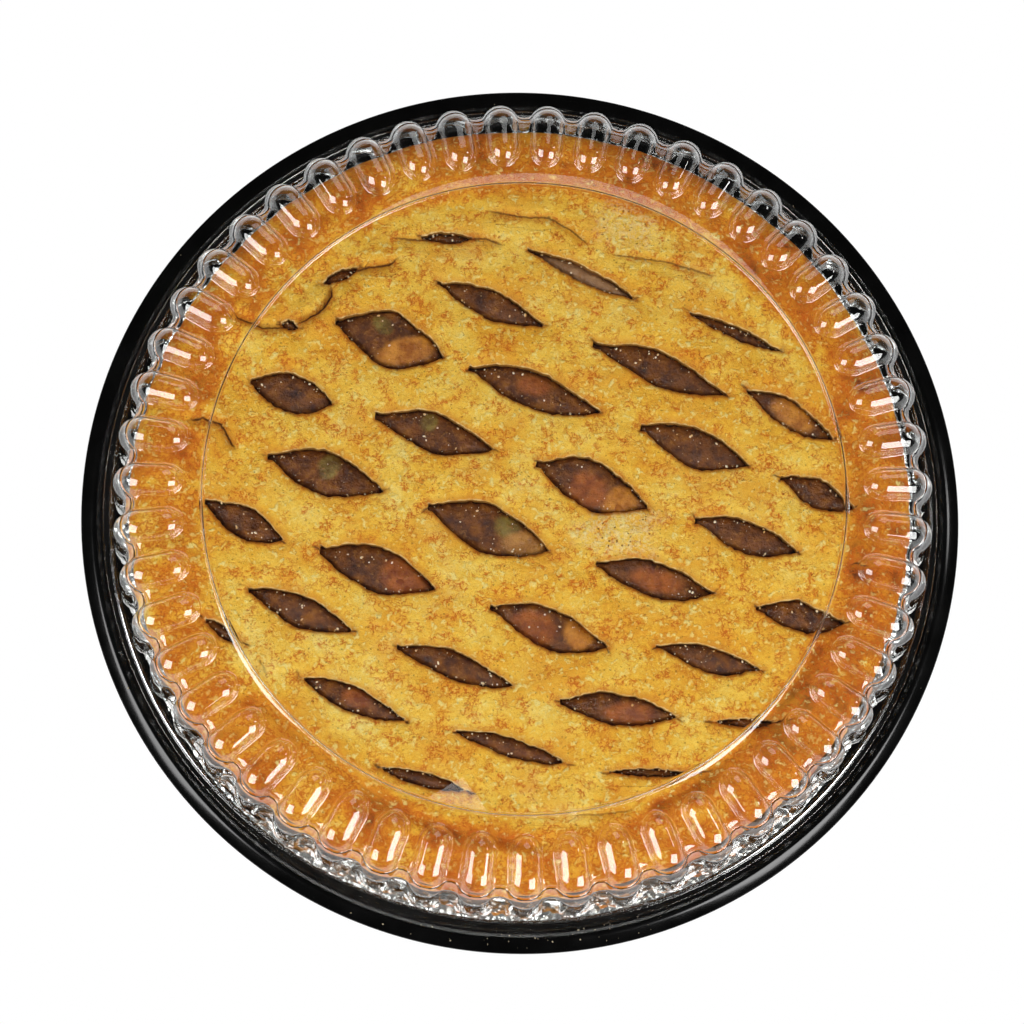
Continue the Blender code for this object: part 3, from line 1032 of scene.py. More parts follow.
@dataclass
class Opening:
    """One opening of the lattice."""

    x: float
    y: float
    length: float
    width: float
    angle: float
    seed: int
    peak: float = 0.10          # widest place on each side, as a share of the half-length
    fullness: float = 1.7       # power of each side's curve
    blunt: float = 0.16         # share of the width left at the left-hand end
    side_steps: int = 90
    fray_mm: float = 0.3        # small raggedness of the edge
    bulge_mm: float = 0.5       # longer waves of the edge, less on an opening that isn't wide
    wide: float = 8.0 * MM

    def outline(self) -> Array:
        """Ragged eye-shaped edge.

        Returns:
            One row of x, y for each point, in order round the opening.
        """
        u = np.linspace(-1.0, 1.0, self.side_steps, endpoint=False)
        sides = []
        for side in (1.0, -1.0):
            along, peak = side * u, -self.peak * side
            reach = np.where(along > peak, (along - peak) / (1.0 - peak), (along - peak) / (1.0 + peak))
            curve = 1.0 - np.abs(reach) ** self.fullness
            curve = np.maximum(curve, self.blunt * 0.5 * (1.0 - along))
            sides.append(np.stack([0.5 * self.length * along, 0.5 * self.width * side * curve], 1))
        points = np.concatenate(sides)
        turn, none = np.arange(len(points)) / len(points) * 90.0, np.zeros(len(points))
        bulge_mm = self.bulge_mm * min(1.0, self.width / self.wide)
        points[:, 1] += (self.fray_mm * lumps(turn, none, 1.7, self.seed)
                         + bulge_mm * lumps(turn, none, 8.0, self.seed + 50)) * MM
        return np.stack(self.from_local(points[:, 0], points[:, 1]), 1)

    def from_local(self, along: Array, across: Array) -> tuple[Array, Array]:
        """Places, from their distances along and across the opening."""
        c, s = math.cos(self.angle), math.sin(self.angle)
        return self.x + along * c - across * s, self.y + along * s + across * c

    def above(self, x: Array, y: Array) -> Array:
        """Distance of places above the opening's long axis."""
        return (y - self.y) * math.cos(self.angle) - (x - self.x) * math.sin(self.angle)


@dataclass
class Lattice:
    """Staggered rows of openings on a flat sheet, draped over the domed filling."""

    pitch: float = 53.7 * MM
    row_spacing: float = 22.9 * MM
    stagger: float = 26.4 * MM
    row_angle: float = math.radians(-17.7)
    first: Point2 = (-6.9 * MM, -9.7 * MM)
    drape_radius: float = 112.4 * MM
    drape_centre: Point2 = (-1.6 * MM, 1.6 * MM)
    length: float = 39.0 * MM
    width: float = 15.0 * MM
    least_width: float = 3.6 * MM
    angle: float = math.radians(-20.8)
    turn: float = math.radians(-0.07) / MM
    ends_fade: float = 95.0 * MM
    ends_shorten: float = 0.33
    ends_narrow: float = 0.35
    rows_fade: float = 93.0 * MM
    rows_shorten: float = 0.15

    def site(self, row: int, place: int) -> Point2:
        """Middle of the even lattice's opening, once the flat sheet lies over the domed pie.

        Args:
            row: Its row.
            place: Its place along the row.

        Returns:
            Its place, seen from above.
        """
        along = (math.cos(self.row_angle), math.sin(self.row_angle))
        run = place * self.pitch + row * self.stagger
        fall = row * self.row_spacing
        x = self.first[0] + run * along[0] + fall * along[1]
        y = self.first[1] + run * along[1] - fall * along[0]
        reach = math.hypot(x, y)
        drawn = self.drape_radius * math.sin(min(reach / self.drape_radius, 0.5 * math.pi)) / reach
        return x * drawn + self.drape_centre[0], y * drawn + self.drape_centre[1]

    def opening(self, key: tuple[int, int]) -> Opening:
        """The opening in a row, at a place along it.

        Args:
            key: Row and place.

        Returns:
            The opening as it was laid.
        """
        laid = LAID[key]
        x, y = self.site(*key)
        along = x * math.cos(self.row_angle) + y * math.sin(self.row_angle)
        across = y * math.cos(self.row_angle) - x * math.sin(self.row_angle)
        ends, rows = (along / self.ends_fade) ** 2, (across / self.rows_fade) ** 2
        length = self.length * (1.0 - self.ends_shorten * ends) * (1.0 - self.rows_shorten * rows)
        width = max(self.width * (1.0 - self.ends_narrow * ends) * (1.0 - rows), self.least_width)
        angle = self.angle + self.turn * across + math.radians(laid.turn)
        return Opening(
            x + laid.right * MM, y + laid.up * MM, length * laid.length, width * laid.width, angle,
            seed=10 * key[0] + key[1] + 60,
        )


@dataclass(frozen=True)
class Crease:
    """A closed cut or a fold in the dough, through places given in millimetres."""

    places: tuple[Point2, ...]
    half_width: float       # mm
    depth: float            # mm
    tone: float             # how strongly its bottom and margin are coloured, 0 to 1: painted shade in the bottom, browning beside it
    taper: float = 4.0 * MM     # length of its thin ends, at most 0.4 of its own length

    def beside(self, x: Array, y: Array) -> tuple[Array, Array]:
        """Where each place lies beside the crease.

        Args:
            x: First coordinate of each place.
            y: Second coordinate.

        Returns:
            Signed distance from the crease, positive on its left, and how open it is there.
        """
        signed, run, start = np.full(len(x), FAR), np.zeros(len(x)), 0.0
        for (ax, ay), (bx, by) in zip(self.places, self.places[1:]):
            dx, dy = (bx - ax) * MM, (by - ay) * MM
            ex, ey, reach = x - ax * MM, y - ay * MM, math.hypot(dx, dy)
            share = np.clip((ex * dx + ey * dy) / reach ** 2, 0.0, 1.0)
            away = np.hypot(ex - share * dx, ey - share * dy)
            closer = away < np.abs(signed)
            signed[closer] = (away * np.where(dx * ey > dy * ex, 1.0, -1.0))[closer]
            run[closer] = (start + share * reach)[closer]
            start += reach
        taper = min(self.taper, 0.4 * start)
        return signed, fade(run, 0.0, taper) * fade(start - run, 0.0, taper)


CREASES = (
    Crease(((-41, 83.5), (-34, 82.8), (-25, 82.7), (-16, 83.6), (-11, 83), (-5, 80.6)), 0.8, 0.9, 0.75),
    Crease(((-12, 92.5), (-5, 91), (2, 90), (8, 90.2), (14.5, 86.3), (21, 81)), 0.8, 1.2, 0.7),
    Crease(((26, 78.7), (35, 77.6), (44.5, 76.2), (51, 74.4), (60, 71.6)), 0.8, 0.8, 0.6),
    Crease(((-53, 72.6), (-47, 74), (-41, 74.6), (-37, 77.5)), 0.9, 2.2, 0.9),
    Crease(((-58.5, 69.5), (-58.2, 64.7), (-60.4, 60.9), (-62.5, 59), (-66, 57.1), (-70, 55.6)),
           0.9, 2.6, 1.0),
    Crease(((-70, 55.6), (-73.5, 55), (-79, 54.7), (-86, 57), (-89, 59.5)), 0.9, 2.2, 0.8),
    Crease(((-102, 24.5), (-96.5, 26.3), (-91, 24.7), (-88.6, 20.4), (-86, 15.4)), 0.9, 2.4, 0.9),
    Crease(((58, -65.3), (68.6, -65.8), (76, -65.2), (82, -64)), 0.8, 1.0, 0.9),
    Crease(((26, -80.2), (39.6, -80.2), (50, -80.2), (58, -79.5)), 0.8, 1.0, 0.8),
    Crease(((0, -92), (10.9, -92.7), (22.7, -92.6), (34, -91.4)), 1.0, 0.9, 0.45),
    Crease(((-95, -35.2), (-90.6, -37.7), (-85, -42)), 0.9, 1.2, 0.9),
    Crease(((-80, -46.3), (-77.4, -48.4), (-75.5, -52.6)), 0.6, 0.5, 0.35),
    Crease(((97.5, -18), (101, -17.4), (105, -19)), 0.7, 0.8, 0.8),
    Crease(((-83.4, -57.7), (-74.8, -61.5), (-66.8, -68), (-57.3, -76.5), (-47, -85), (-34, -93),
            (-22, -97.5), (-8, -100), (8, -103)), 1.5, 1.3, 0.15),
    Crease(((90, -40), (84, -50), (76, -62), (64, -74), (52, -84), (36, -92)), 1.4, 1.0, 0.1),
)


# ---------------------------------------------------------------- crust


@dataclass
class LatticeCrust:
    """Top crust in one piece, with its openings, cut walls, puffed rim and flaky relief."""

    lattice: Lattice
    step: float = 0.73 * MM
    radius: float = 118.4 * MM
    lean: Point2 = (-0.5 * MM, 0.9 * MM)        # how far the rim was pressed to one side
    sheet: float = 4.4 * MM
    rim_sheet: float = 1.3 * MM     # thickness where the rim rests on the foil
    wall_shares: tuple[float, ...] = (0.1, 0.4, 0.5)    # steps of the cut walls, down
    centre_rise: float = 12.3 * MM
    droop: float = 6.5 * MM
    roll_radius: float = 106.0 * MM
    roll_rise: float = 1.8 * MM
    roll_spread: float = 6.0 * MM
    shoulder_radius: float = 108.5 * MM
    edge_radius: float = 118.6 * MM
    edge_drop: float = 0.8 * MM
    lip_round: float = 1.1 * MM
    crack_start: float = 0.46           # share of an opening's length from its middle
    crack_reach: tuple[float, float] = (1.5, 4.5)   # length of the cracks, mm
    valley_width: float = 1.2           # creases wider than this get a broad band of painted shade, mm
    valley_reach: float = 4.2 * MM
    drawn_in: float = 0.8 * MM          # how far the near edge shrank from the foil
    # Relief, mm
    puffs: tuple[Layer, ...] = ((0.4, 17.0, 1), (0.16, 6.0, 2))
    flakes: tuple[Layer, ...] = ((0.13, 3.0, 3),)
    slanting_flakes: tuple[Layer, ...] = ((0.10, 1.7, 8),)
    pillow: float = 0.9                 # how far the dough sinks towards an opening
    pillow_reach: float = 3.2 * MM
    swell: float = 0.45                 # rise of the dough beside a crease, 4 mm from it
    overlap: float = 0.4                # step from one side of a crease to the other
    crease_share: float = 0.7           # share of a crease's depth that shows
    # Bake with painted shade, 0 for pale to 1 for brown
    even_bake: float = 0.27
    bakes: tuple[Layer, ...] = ((0.09, 24.0, 21), (0.05, 9.0, 22), (0.04, 3.2, 26))
    outer_bake: float = 0.04            # outside the middle of the pie
    lip_bake: float = 0.08              # beside the openings
    rim_bake: float = 0.31
    right_bake: float = 0.12            # more on the rim's right side
    rim_bakes: tuple[Layer, ...] = ((0.18, 12.0, 23), (0.24, 4.5, 24))
    # painted shade along the broad valleys
    valley_bake: float = 0.24
    most_bake: float = 1.15
    openings: list[Opening] = field(default_factory=list)
    outlines: list[Array] = field(default_factory=list)
    cracks: list[Crease] = field(default_factory=list)

    def rise(self, radius: Array) -> Array:
        """Rise of the even crust above the lip.

        Args:
            radius: Distance of each place from the axis.

        Returns:
            One height for each place.
        """
        inner = np.minimum(radius, self.shoulder_radius)
        top = (self.centre_rise - self.droop * (inner / self.roll_radius) ** 2
               + self.roll_rise * np.exp(-((inner - self.roll_radius) / self.roll_spread) ** 2))
        span = self.edge_radius + 0.4 * MM - self.shoulder_radius
        share = np.clip((radius - self.shoulder_radius) / span, 0.0, 1.0)
        return (top + self.edge_drop) * np.sqrt(1.0 - share ** 2) - self.edge_drop

    def lay_out(self) -> None:
        """Place the openings, and the cracks that run on from their ends."""
        chance = random.Random(7)
        self.openings = [self.lattice.opening(key) for key in LAID]
        self.outlines = [opening.outline() for opening in self.openings]
        for opening in self.openings:
            start = self.crack_start * opening.length
            for heading in (opening.angle + math.pi, opening.angle):
                x = (opening.x + start * math.cos(heading)) / MM
                y = (opening.y + start * math.sin(heading)) / MM
                reach = chance.uniform(*self.crack_reach)
                places = [(x, y)]
                for _ in range(3):
                    heading += chance.uniform(-0.5, 0.5)
                    x, y = x + reach / 3.0 * math.cos(heading), y + reach / 3.0 * math.sin(heading)
                    places.append((x, y))
                self.cracks.append(Crease(tuple(places), 0.5, 0.4, chance.uniform(0.3, 0.9)))

    def fit_edges(self, piece: Piece) -> None:
        """Draw the boundary vertices exactly onto the outlines.

        Args:
            piece: The flat sheet.
        """
        places = coords(piece)
        rim = np.zeros(len(places), bool)
        rim[np.unique(boundary_edges(piece))] = True
        radius = np.hypot(places[:, 0], places[:, 1])
        outer = rim & (radius > self.radius - 2.0 * self.step)
        places[outer, :2] *= (self.radius / radius[outer])[:, None]
        every = np.concatenate([dense(outline, 5) for outline in self.outlines])
        for part in np.array_split(np.nonzero(rim & ~outer)[0], 40):
            gap = np.hypot(places[part, 0:1] - every[None, :, 0], places[part, 1:2] - every[None, :, 1])
            places[part, :2] = every[gap.argmin(1)]
        set_coords(piece, places)

    def edge_distance(self, places: Array) -> tuple[Array, Array]:
        """Distance of each place to the nearest opening's edge.

        Args:
            places: One row of x, y and perhaps z for each place.

        Returns:
            The distances, and 1 for each place above the opening or -1 below it.
        """
        best, side = np.full(len(places), FAR), np.zeros(len(places))
        for opening, outline in zip(self.openings, self.outlines):
            reach = 0.5 * opening.length + 12.0 * MM
            near = np.nonzero(np.hypot(places[:, 0] - opening.x, places[:, 1] - opening.y) < reach)[0]
            gap = np.hypot(places[near, 0:1] - outline[None, :, 0], places[near, 1:2] - outline[None, :, 1])
            gap = gap.min(1)
            closer = gap < best[near]
            best[near[closer]] = gap[closer]
            side[near[closer]] = np.sign(opening.above(places[near, 0], places[near, 1])[closer])
        return best, side

    def crumbliness(self, x: Array, y: Array) -> Array:
        """How crumbly each place is: 1 in the broken patches.

        Args:
            x: First coordinate of each place.
            y: Second coordinate.

        Returns:
            One share for each place.
        """
        crumbly = uneven(x, y, (0.35, 7.0, 4))
        for share, px, py, wide, high in ((1.0, 28.0, -8.0, 15.0, 13.0), (0.8, 32.0, 88.0, 14.0, 9.0)):
            crumbly += share * np.exp(-(((x / MM - px) / wide) ** 2 + ((y / MM - py) / high) ** 2))
        return fade(crumbly, 0.35, 0.9)

    def relief(self, x: Array, y: Array, gap: Array) -> Array:
        """Unevenness of the baked surface above its even form.

        Args:
            x: First coordinate of each place.
            y: Second coordinate.
            gap: Distance to the nearest opening's edge.

        Returns:
            One height for each place.
        """
        height = uneven(x, y, *self.puffs, *self.flakes) + uneven(x + 0.5 * y, y, *self.slanting_flakes)
        height += (0.10 + 0.22 * self.crumbliness(x, y)) * lumps(x, y, 1.7 * MM, 5)
        height -= self.pillow * np.exp(-gap / self.pillow_reach)
        height += fade(np.hypot(x, y), 97.0 * MM, 103.0 * MM) * (lumps(x, y, 10.0 * MM, 6) - 0.3)
        for crease in (*CREASES, *self.cracks):
            signed, opened = crease.beside(x, y)
            away = np.abs(signed) / MM
            groove = np.exp(-(away / (crease.half_width + 0.3)) ** 2)
            swell = self.swell * np.exp(-((away - 4.0) / 3.0) ** 2)
            overlap = self.overlap * np.tanh(signed / (0.8 * MM)) * np.exp(-away / 5.0)
            height += self.crease_share * crease.depth * opened * (swell + overlap - groove)
        return height * MM

    def drop_walls(self, piece: Piece) -> None:
        """Extrude every boundary down into the cut walls, and close the underside between them.

        Args:
            piece: The shaped sheet.
        """
        top = len(piece.data.vertices)
        for outer, depth in ((False, self.sheet), (True, self.rim_sheet)):
            places, (edges, is_open) = coords(piece), edge_table(piece)
            far = np.hypot(places[edges[:, 0], 0], places[edges[:, 0], 1]) > self.radius - 3.0 * MM
            open_at(piece, "EDGE", is_open & (far == outer))
            for share in self.wall_shares:
                drop = (0.0, 0.0, -share * depth)
                bpy.ops.mesh.extrude_edges_move(TRANSFORM_OT_translate={"value": drop})
            put_down()
        close_underside(piece)
        paint(piece, cut=(np.arange(len(piece.data.vertices)) >= top).astype(float))
        settle(piece)

    def brown(self, piece: Piece) -> None:
        """Store how deeply each place is baked, with painted shade in the broad valleys, how crumbly it is,
        and its edges and cracks.

        Args:
            piece: The finished mesh.
        """
        places = coords(piece)
        x, y = places[:, 0], places[:, 1]
        radius = np.hypot(x, y)
        gap, side = self.edge_distance(places)
        bake = self.even_bake + uneven(x, y, *self.bakes)
        outside = fade(radius, 55.0 * MM, 92.0 * MM)
        bake += self.outer_bake * outside * (0.6 + uneven(x, y, (0.8, 30.0, 27)))
        bake += self.lip_bake * np.exp(-gap / (4.0 * MM)) * (1.0 + uneven(x, y, (1.0, 5.0, 25)))
        on_rim = fade(radius, 94.0 * MM, 103.0 * MM)
        right = 0.5 + 0.5 * x / self.radius
        bake += on_rim * (self.rim_bake + self.right_bake * right + uneven(x, y, *self.rim_bakes))
        reach = REACH_MM * MM
        seam, tone = np.full(len(x), reach), np.zeros(len(x))
        for crease in (*CREASES, *self.cracks):
            signed, opened = crease.beside(x, y)
            closer = np.abs(signed) < np.abs(seam)
            seam[closer], tone[closer] = signed[closer], crease.tone * opened[closer]
            # a broad crease adds a band of painted shade beside it to the bake
            if crease.half_width > self.valley_width:
                bake += self.valley_bake * opened * np.exp(-(signed / self.valley_reach) ** 2)
        paint(piece, rim=on_rim, crumb=self.crumbliness(x, y), gap=np.clip(gap / reach, 0.0, 1.0),
              above=np.where(side > 0.0, 1.0, 0.0), bake=np.clip(bake, 0.0, self.most_bake),
              seam=seam / reach, seam_tone=tone)

    def press_rim(self, piece: Piece) -> None:
        """Draw the near edge in from the foil, and lean the rim to one side.

        Args:
            piece: The finished mesh.
        """
        places = coords(piece)
        radius = np.hypot(places[:, 0], places[:, 1])
        pressed = fade(radius, 92.0 * MM, 112.0 * MM)
        near_side = fade(-np.sin(np.arctan2(places[:, 1], places[:, 0])), 0.35, 0.95)
        places[:, :2] *= (1.0 - self.drawn_in / self.radius * pressed * near_side)[:, None]
        places[:, :2] += pressed[:, None] * np.array(self.lean)
        set_coords(piece, places)

    def build(self) -> None:
        """Model and dress the crust."""
        self.lay_out()
        piece = round_grid("lattice_top_crust", self.radius, self.step)
        delete_faces(piece, inside_any(face_centres(piece), self.outlines))
        part_pinches(piece)
        self.fit_edges(piece)
        settle(piece, 0.02 * MM)
        part_pinches(piece)
        places = coords(piece)
        x, y = places[:, 0], places[:, 1]
        gap, _ = self.edge_distance(places)
        places[:, 2] = LIP + self.rise(np.hypot(x, y)) + self.relief(x, y, gap)
        near = np.clip(1.0 - gap / self.lip_round, 0.0, 1.0)
        places[:, 2] -= 0.8 * self.lip_round * (1.0 - np.sqrt(1.0 - near ** 2))
        set_coords(piece, places)
        self.drop_walls(piece)
        self.brown(piece)
        self.press_rim(piece)
        hand_over(piece, 60.0, BakedShortcrust(), "crust", "lattice_crust")


# ---------------------------------------------------------------- filling


@dataclass(frozen=True)
class AppleChunk:
    """One stewed piece of apple, most of it sunk in the jelly; sizes and places in millimetres."""

    x: float
    y: float
    length: float
    width: float
    turn: float             # degrees
    tint: AppleTint

    def shine(self, x: Array, y: Array) -> Array:
        """Share of the chunk's colour that shows through the jelly at each place.

        Args:
            x: First coordinate of each place.
            y: Second coordinate.

        Returns:
            One share for each place, 1 over the chunk's middle.
        """
        c, s = math.cos(math.radians(self.turn)), math.sin(math.radians(self.turn))
        dx, dy = x / MM - self.x, y / MM - self.y
        along, across = (dx * c + dy * s) / (0.5 * self.length), (dy * c - dx * s) / (0.5 * self.width)
        return fade(uneven(x, y, (0.16, 4.0, int(self.x) + 200)) - np.hypot(along, across), -1.2, -0.75)


CHUNKS = (
    AppleChunk(-35.0, 47.6, 18.0, 8.0, 16.0, AppleTint.AMBER),
    AppleChunk(-42.5, 55.5, 7.0, 4.5, -40.0, AppleTint.OLIVE),
    AppleChunk(-28.5, 25.0, 6.0, 5.0, 70.0, AppleTint.OLIVE),
    AppleChunk(-58.1, 11.5, 8.0, 6.0, 60.0, AppleTint.OLIVE),
    AppleChunk(-36.2, -22.7, 15.0, 12.0, -35.0, AppleTint.RUSSET),
    AppleChunk(29.0, 0.5, 11.0, 10.0, 25.0, AppleTint.AMBER),
    AppleChunk(19.5, 4.0, 11.0, 12.0, 60.0, AppleTint.RUSSET),
    AppleChunk(-4.5, -7.2, 8.0, 7.0, -20.0, AppleTint.OLIVE),
    AppleChunk(1.4, -12.4, 15.0, 8.0, -4.0, AppleTint.TAN),
    AppleChunk(16.6, -39.5, 8.5, 9.5, 60.0, AppleTint.AMBER),
    AppleChunk(3.0, -37.0, 15.0, 9.0, -20.0, AppleTint.RUSSET),
    AppleChunk(82.6, 29.0, 15.0, 8.0, -30.0, AppleTint.AMBER),
    AppleChunk(3.0, 36.5, 10.0, 6.0, -15.0, AppleTint.RUSSET),
    AppleChunk(40.0, -22.8, 15.0, 7.0, -12.0, AppleTint.RUSSET),
    AppleChunk(-49.5, -58.6, 9.0, 5.0, -20.0, AppleTint.RUSSET),
    AppleChunk(19.5, 71.0, 30.0, 9.0, -28.0, AppleTint.PALE),
    AppleChunk(31.0, -62.5, 14.0, 7.0, -6.0, AppleTint.RUSSET),
)


@dataclass
class FruitFilling:
    """Cooked fruit in its jelly, filling the pan and swelling up in the lattice's openings."""

    crust: LatticeCrust
    step: float = 0.9 * MM
    radius: float = 103.0 * MM
    sink: float = 0.5 * MM           # clearance under the crust
    swell: float = 3.2 * MM          # rise in the middle of an opening
    swell_at_edge: float = 0.6       # share of it beside the dough
    swell_reach: float = 1.6 * MM
    edge_reach: float = 0.5 * MM     # width of the painted shade line beside the dough
    # strength of the painted shade beside the dough
    edge_dark: float = 0.15
    shoulder: Point2 = (111.0 * MM, 29.6 * MM)
    foot: Point2 = (89.6 * MM, 1.9 * MM)

    def surface(self, x: Array, y: Array) -> Array:
        """Height of the jelly.

        Args:
            x: First coordinate of each place.
            y: Second coordinate.

        Returns:
            One height above the table for each place.
        """
        places = np.stack([x, y], 1)
        gap, _ = self.crust.edge_distance(places)
        swollen = 1.0 - (1.0 - self.swell_at_edge) * np.exp(-gap / self.swell_reach)
        lift = np.where(inside_any(places, self.crust.outlines), self.swell * swollen, 0.0)
        rough = uneven(x, y, (0.35, 8.0, 31), (0.22, 3.2, 32), (0.10, 1.9, 34)) - 0.35
        under = self.crust.rise(np.hypot(x, y)) - self.crust.sheet - self.sink
        return LIP + under + lift + rough * MM

    def stain(self, piece: Piece) -> None:
        """Store how much of each apple tint shines through the jelly, and the painted shade beside the
        dough's edge.

        Args:
            piece: The finished mesh.
        """
        places = coords(piece)
        x, y = places[:, 0], places[:, 1]
        gap, _ = self.crust.edge_distance(places)
        paint(piece, edge=self.edge_dark * np.exp(-gap / self.edge_reach))
        for tint in AppleTint:
            shares = [chunk.shine(x, y) for chunk in CHUNKS if chunk.tint is tint]
            paint(piece, **{tint.name.lower(): np.max(shares, axis=0)})

    def build(self) -> None:
        """Model and dress the filling."""
        piece = round_grid("fruit_filling", self.radius, self.step)
        places = coords(piece)
        rim = np.unique(boundary_edges(piece))
        places[rim, :2] *= (self.radius / np.hypot(places[rim, 0], places[rim, 1]))[:, None]
        places[:, 2] = self.surface(places[:, 0], places[:, 1])
        set_coords(piece, places)
        open_up(piece, "DESELECT")
        bpy.ops.mesh.select_non_manifold()
        before = self.radius
        for radius, height in (self.shoulder, self.foot):
            next_ring(-1.0 * MM, radius / before, height, upright=0.0)
            before = radius
        bpy.ops.mesh.edge_face_add()
        settle(piece)
        self.stain(piece)
        hand_over(piece, 60.0, CookedFruitJelly(), "filling", "filling")


@dataclass
class StewedApples:
    """The pieces of apple that show in the openings."""

    filling: FruitFilling
    thickness: float = 5.0 * MM
    sunk: float = 0.1 * MM      # how far under the jelly's skin a piece lies before it swells
    softening: int = 4          # rounds of subdivision of each block

    def chunk(self, spec: AppleChunk, seed: int) -> Piece:
        """One rounded, softened piece.

        Args:
            spec: Its place, size and tint.
            seed: Which unevenness to draw.

        Returns:
            The piece, with its "bare" attribute stored.
        """
        x, y = spec.x * MM, spec.y * MM
        level = float(self.filling.surface(np.array([x]), np.array([y]))[0])
        deselect_all()
        bpy.ops.mesh.primitive_cube_add(
            size=1.0,
            location=(x, y, level - self.sunk - 0.5 * self.thickness),
            rotation=(0.0, 0.0, math.radians(spec.turn)),
            scale=(spec.length * MM, spec.width * MM, self.thickness),
        )
        piece = new_piece("apple_chunk")
        bpy.ops.object.transform_apply(location=True, rotation=True, scale=True)
        apply_modifier(piece, "SUBSURF", levels=self.softening, render_levels=self.softening)
        places = coords(piece)
        x, y = places[:, 0], places[:, 1]
        bumps = (uneven(x, y, (0.5, 3.0, seed)) + 0.2) * MM
        places[:, 2] += bumps * fade(places[:, 2], level - 2.0 * MM, level)
        set_coords(piece, places)
        paint(piece, bare=fade(places[:, 2] - self.filling.surface(x, y), 0.0, 0.7 * MM))
        return piece

    def build(self) -> None:
        """Model and dress the pieces, joined by tint."""
        for tint in AppleTint:
            chunks = [self.chunk(spec, 40 + i) for i, spec in enumerate(CHUNKS) if spec.tint is tint]
            piece = joined(chunks, "stewed_apple_" + tint.name.lower())
            hand_over(piece, 180.0, StewedApple(tint), "filling")


# ---------------------------------------------------------------- clear dome


@dataclass(frozen=True)
class Station:
    """One cross-section of a flute, between its crest and the middle of the valley beside it."""

    crest: Point2           # radius and rise
    valley: Point2
    blend: float            # 0 for the ridge's half-round, 1 for the wall's shallow wave


Rows = list[list[Point3]]


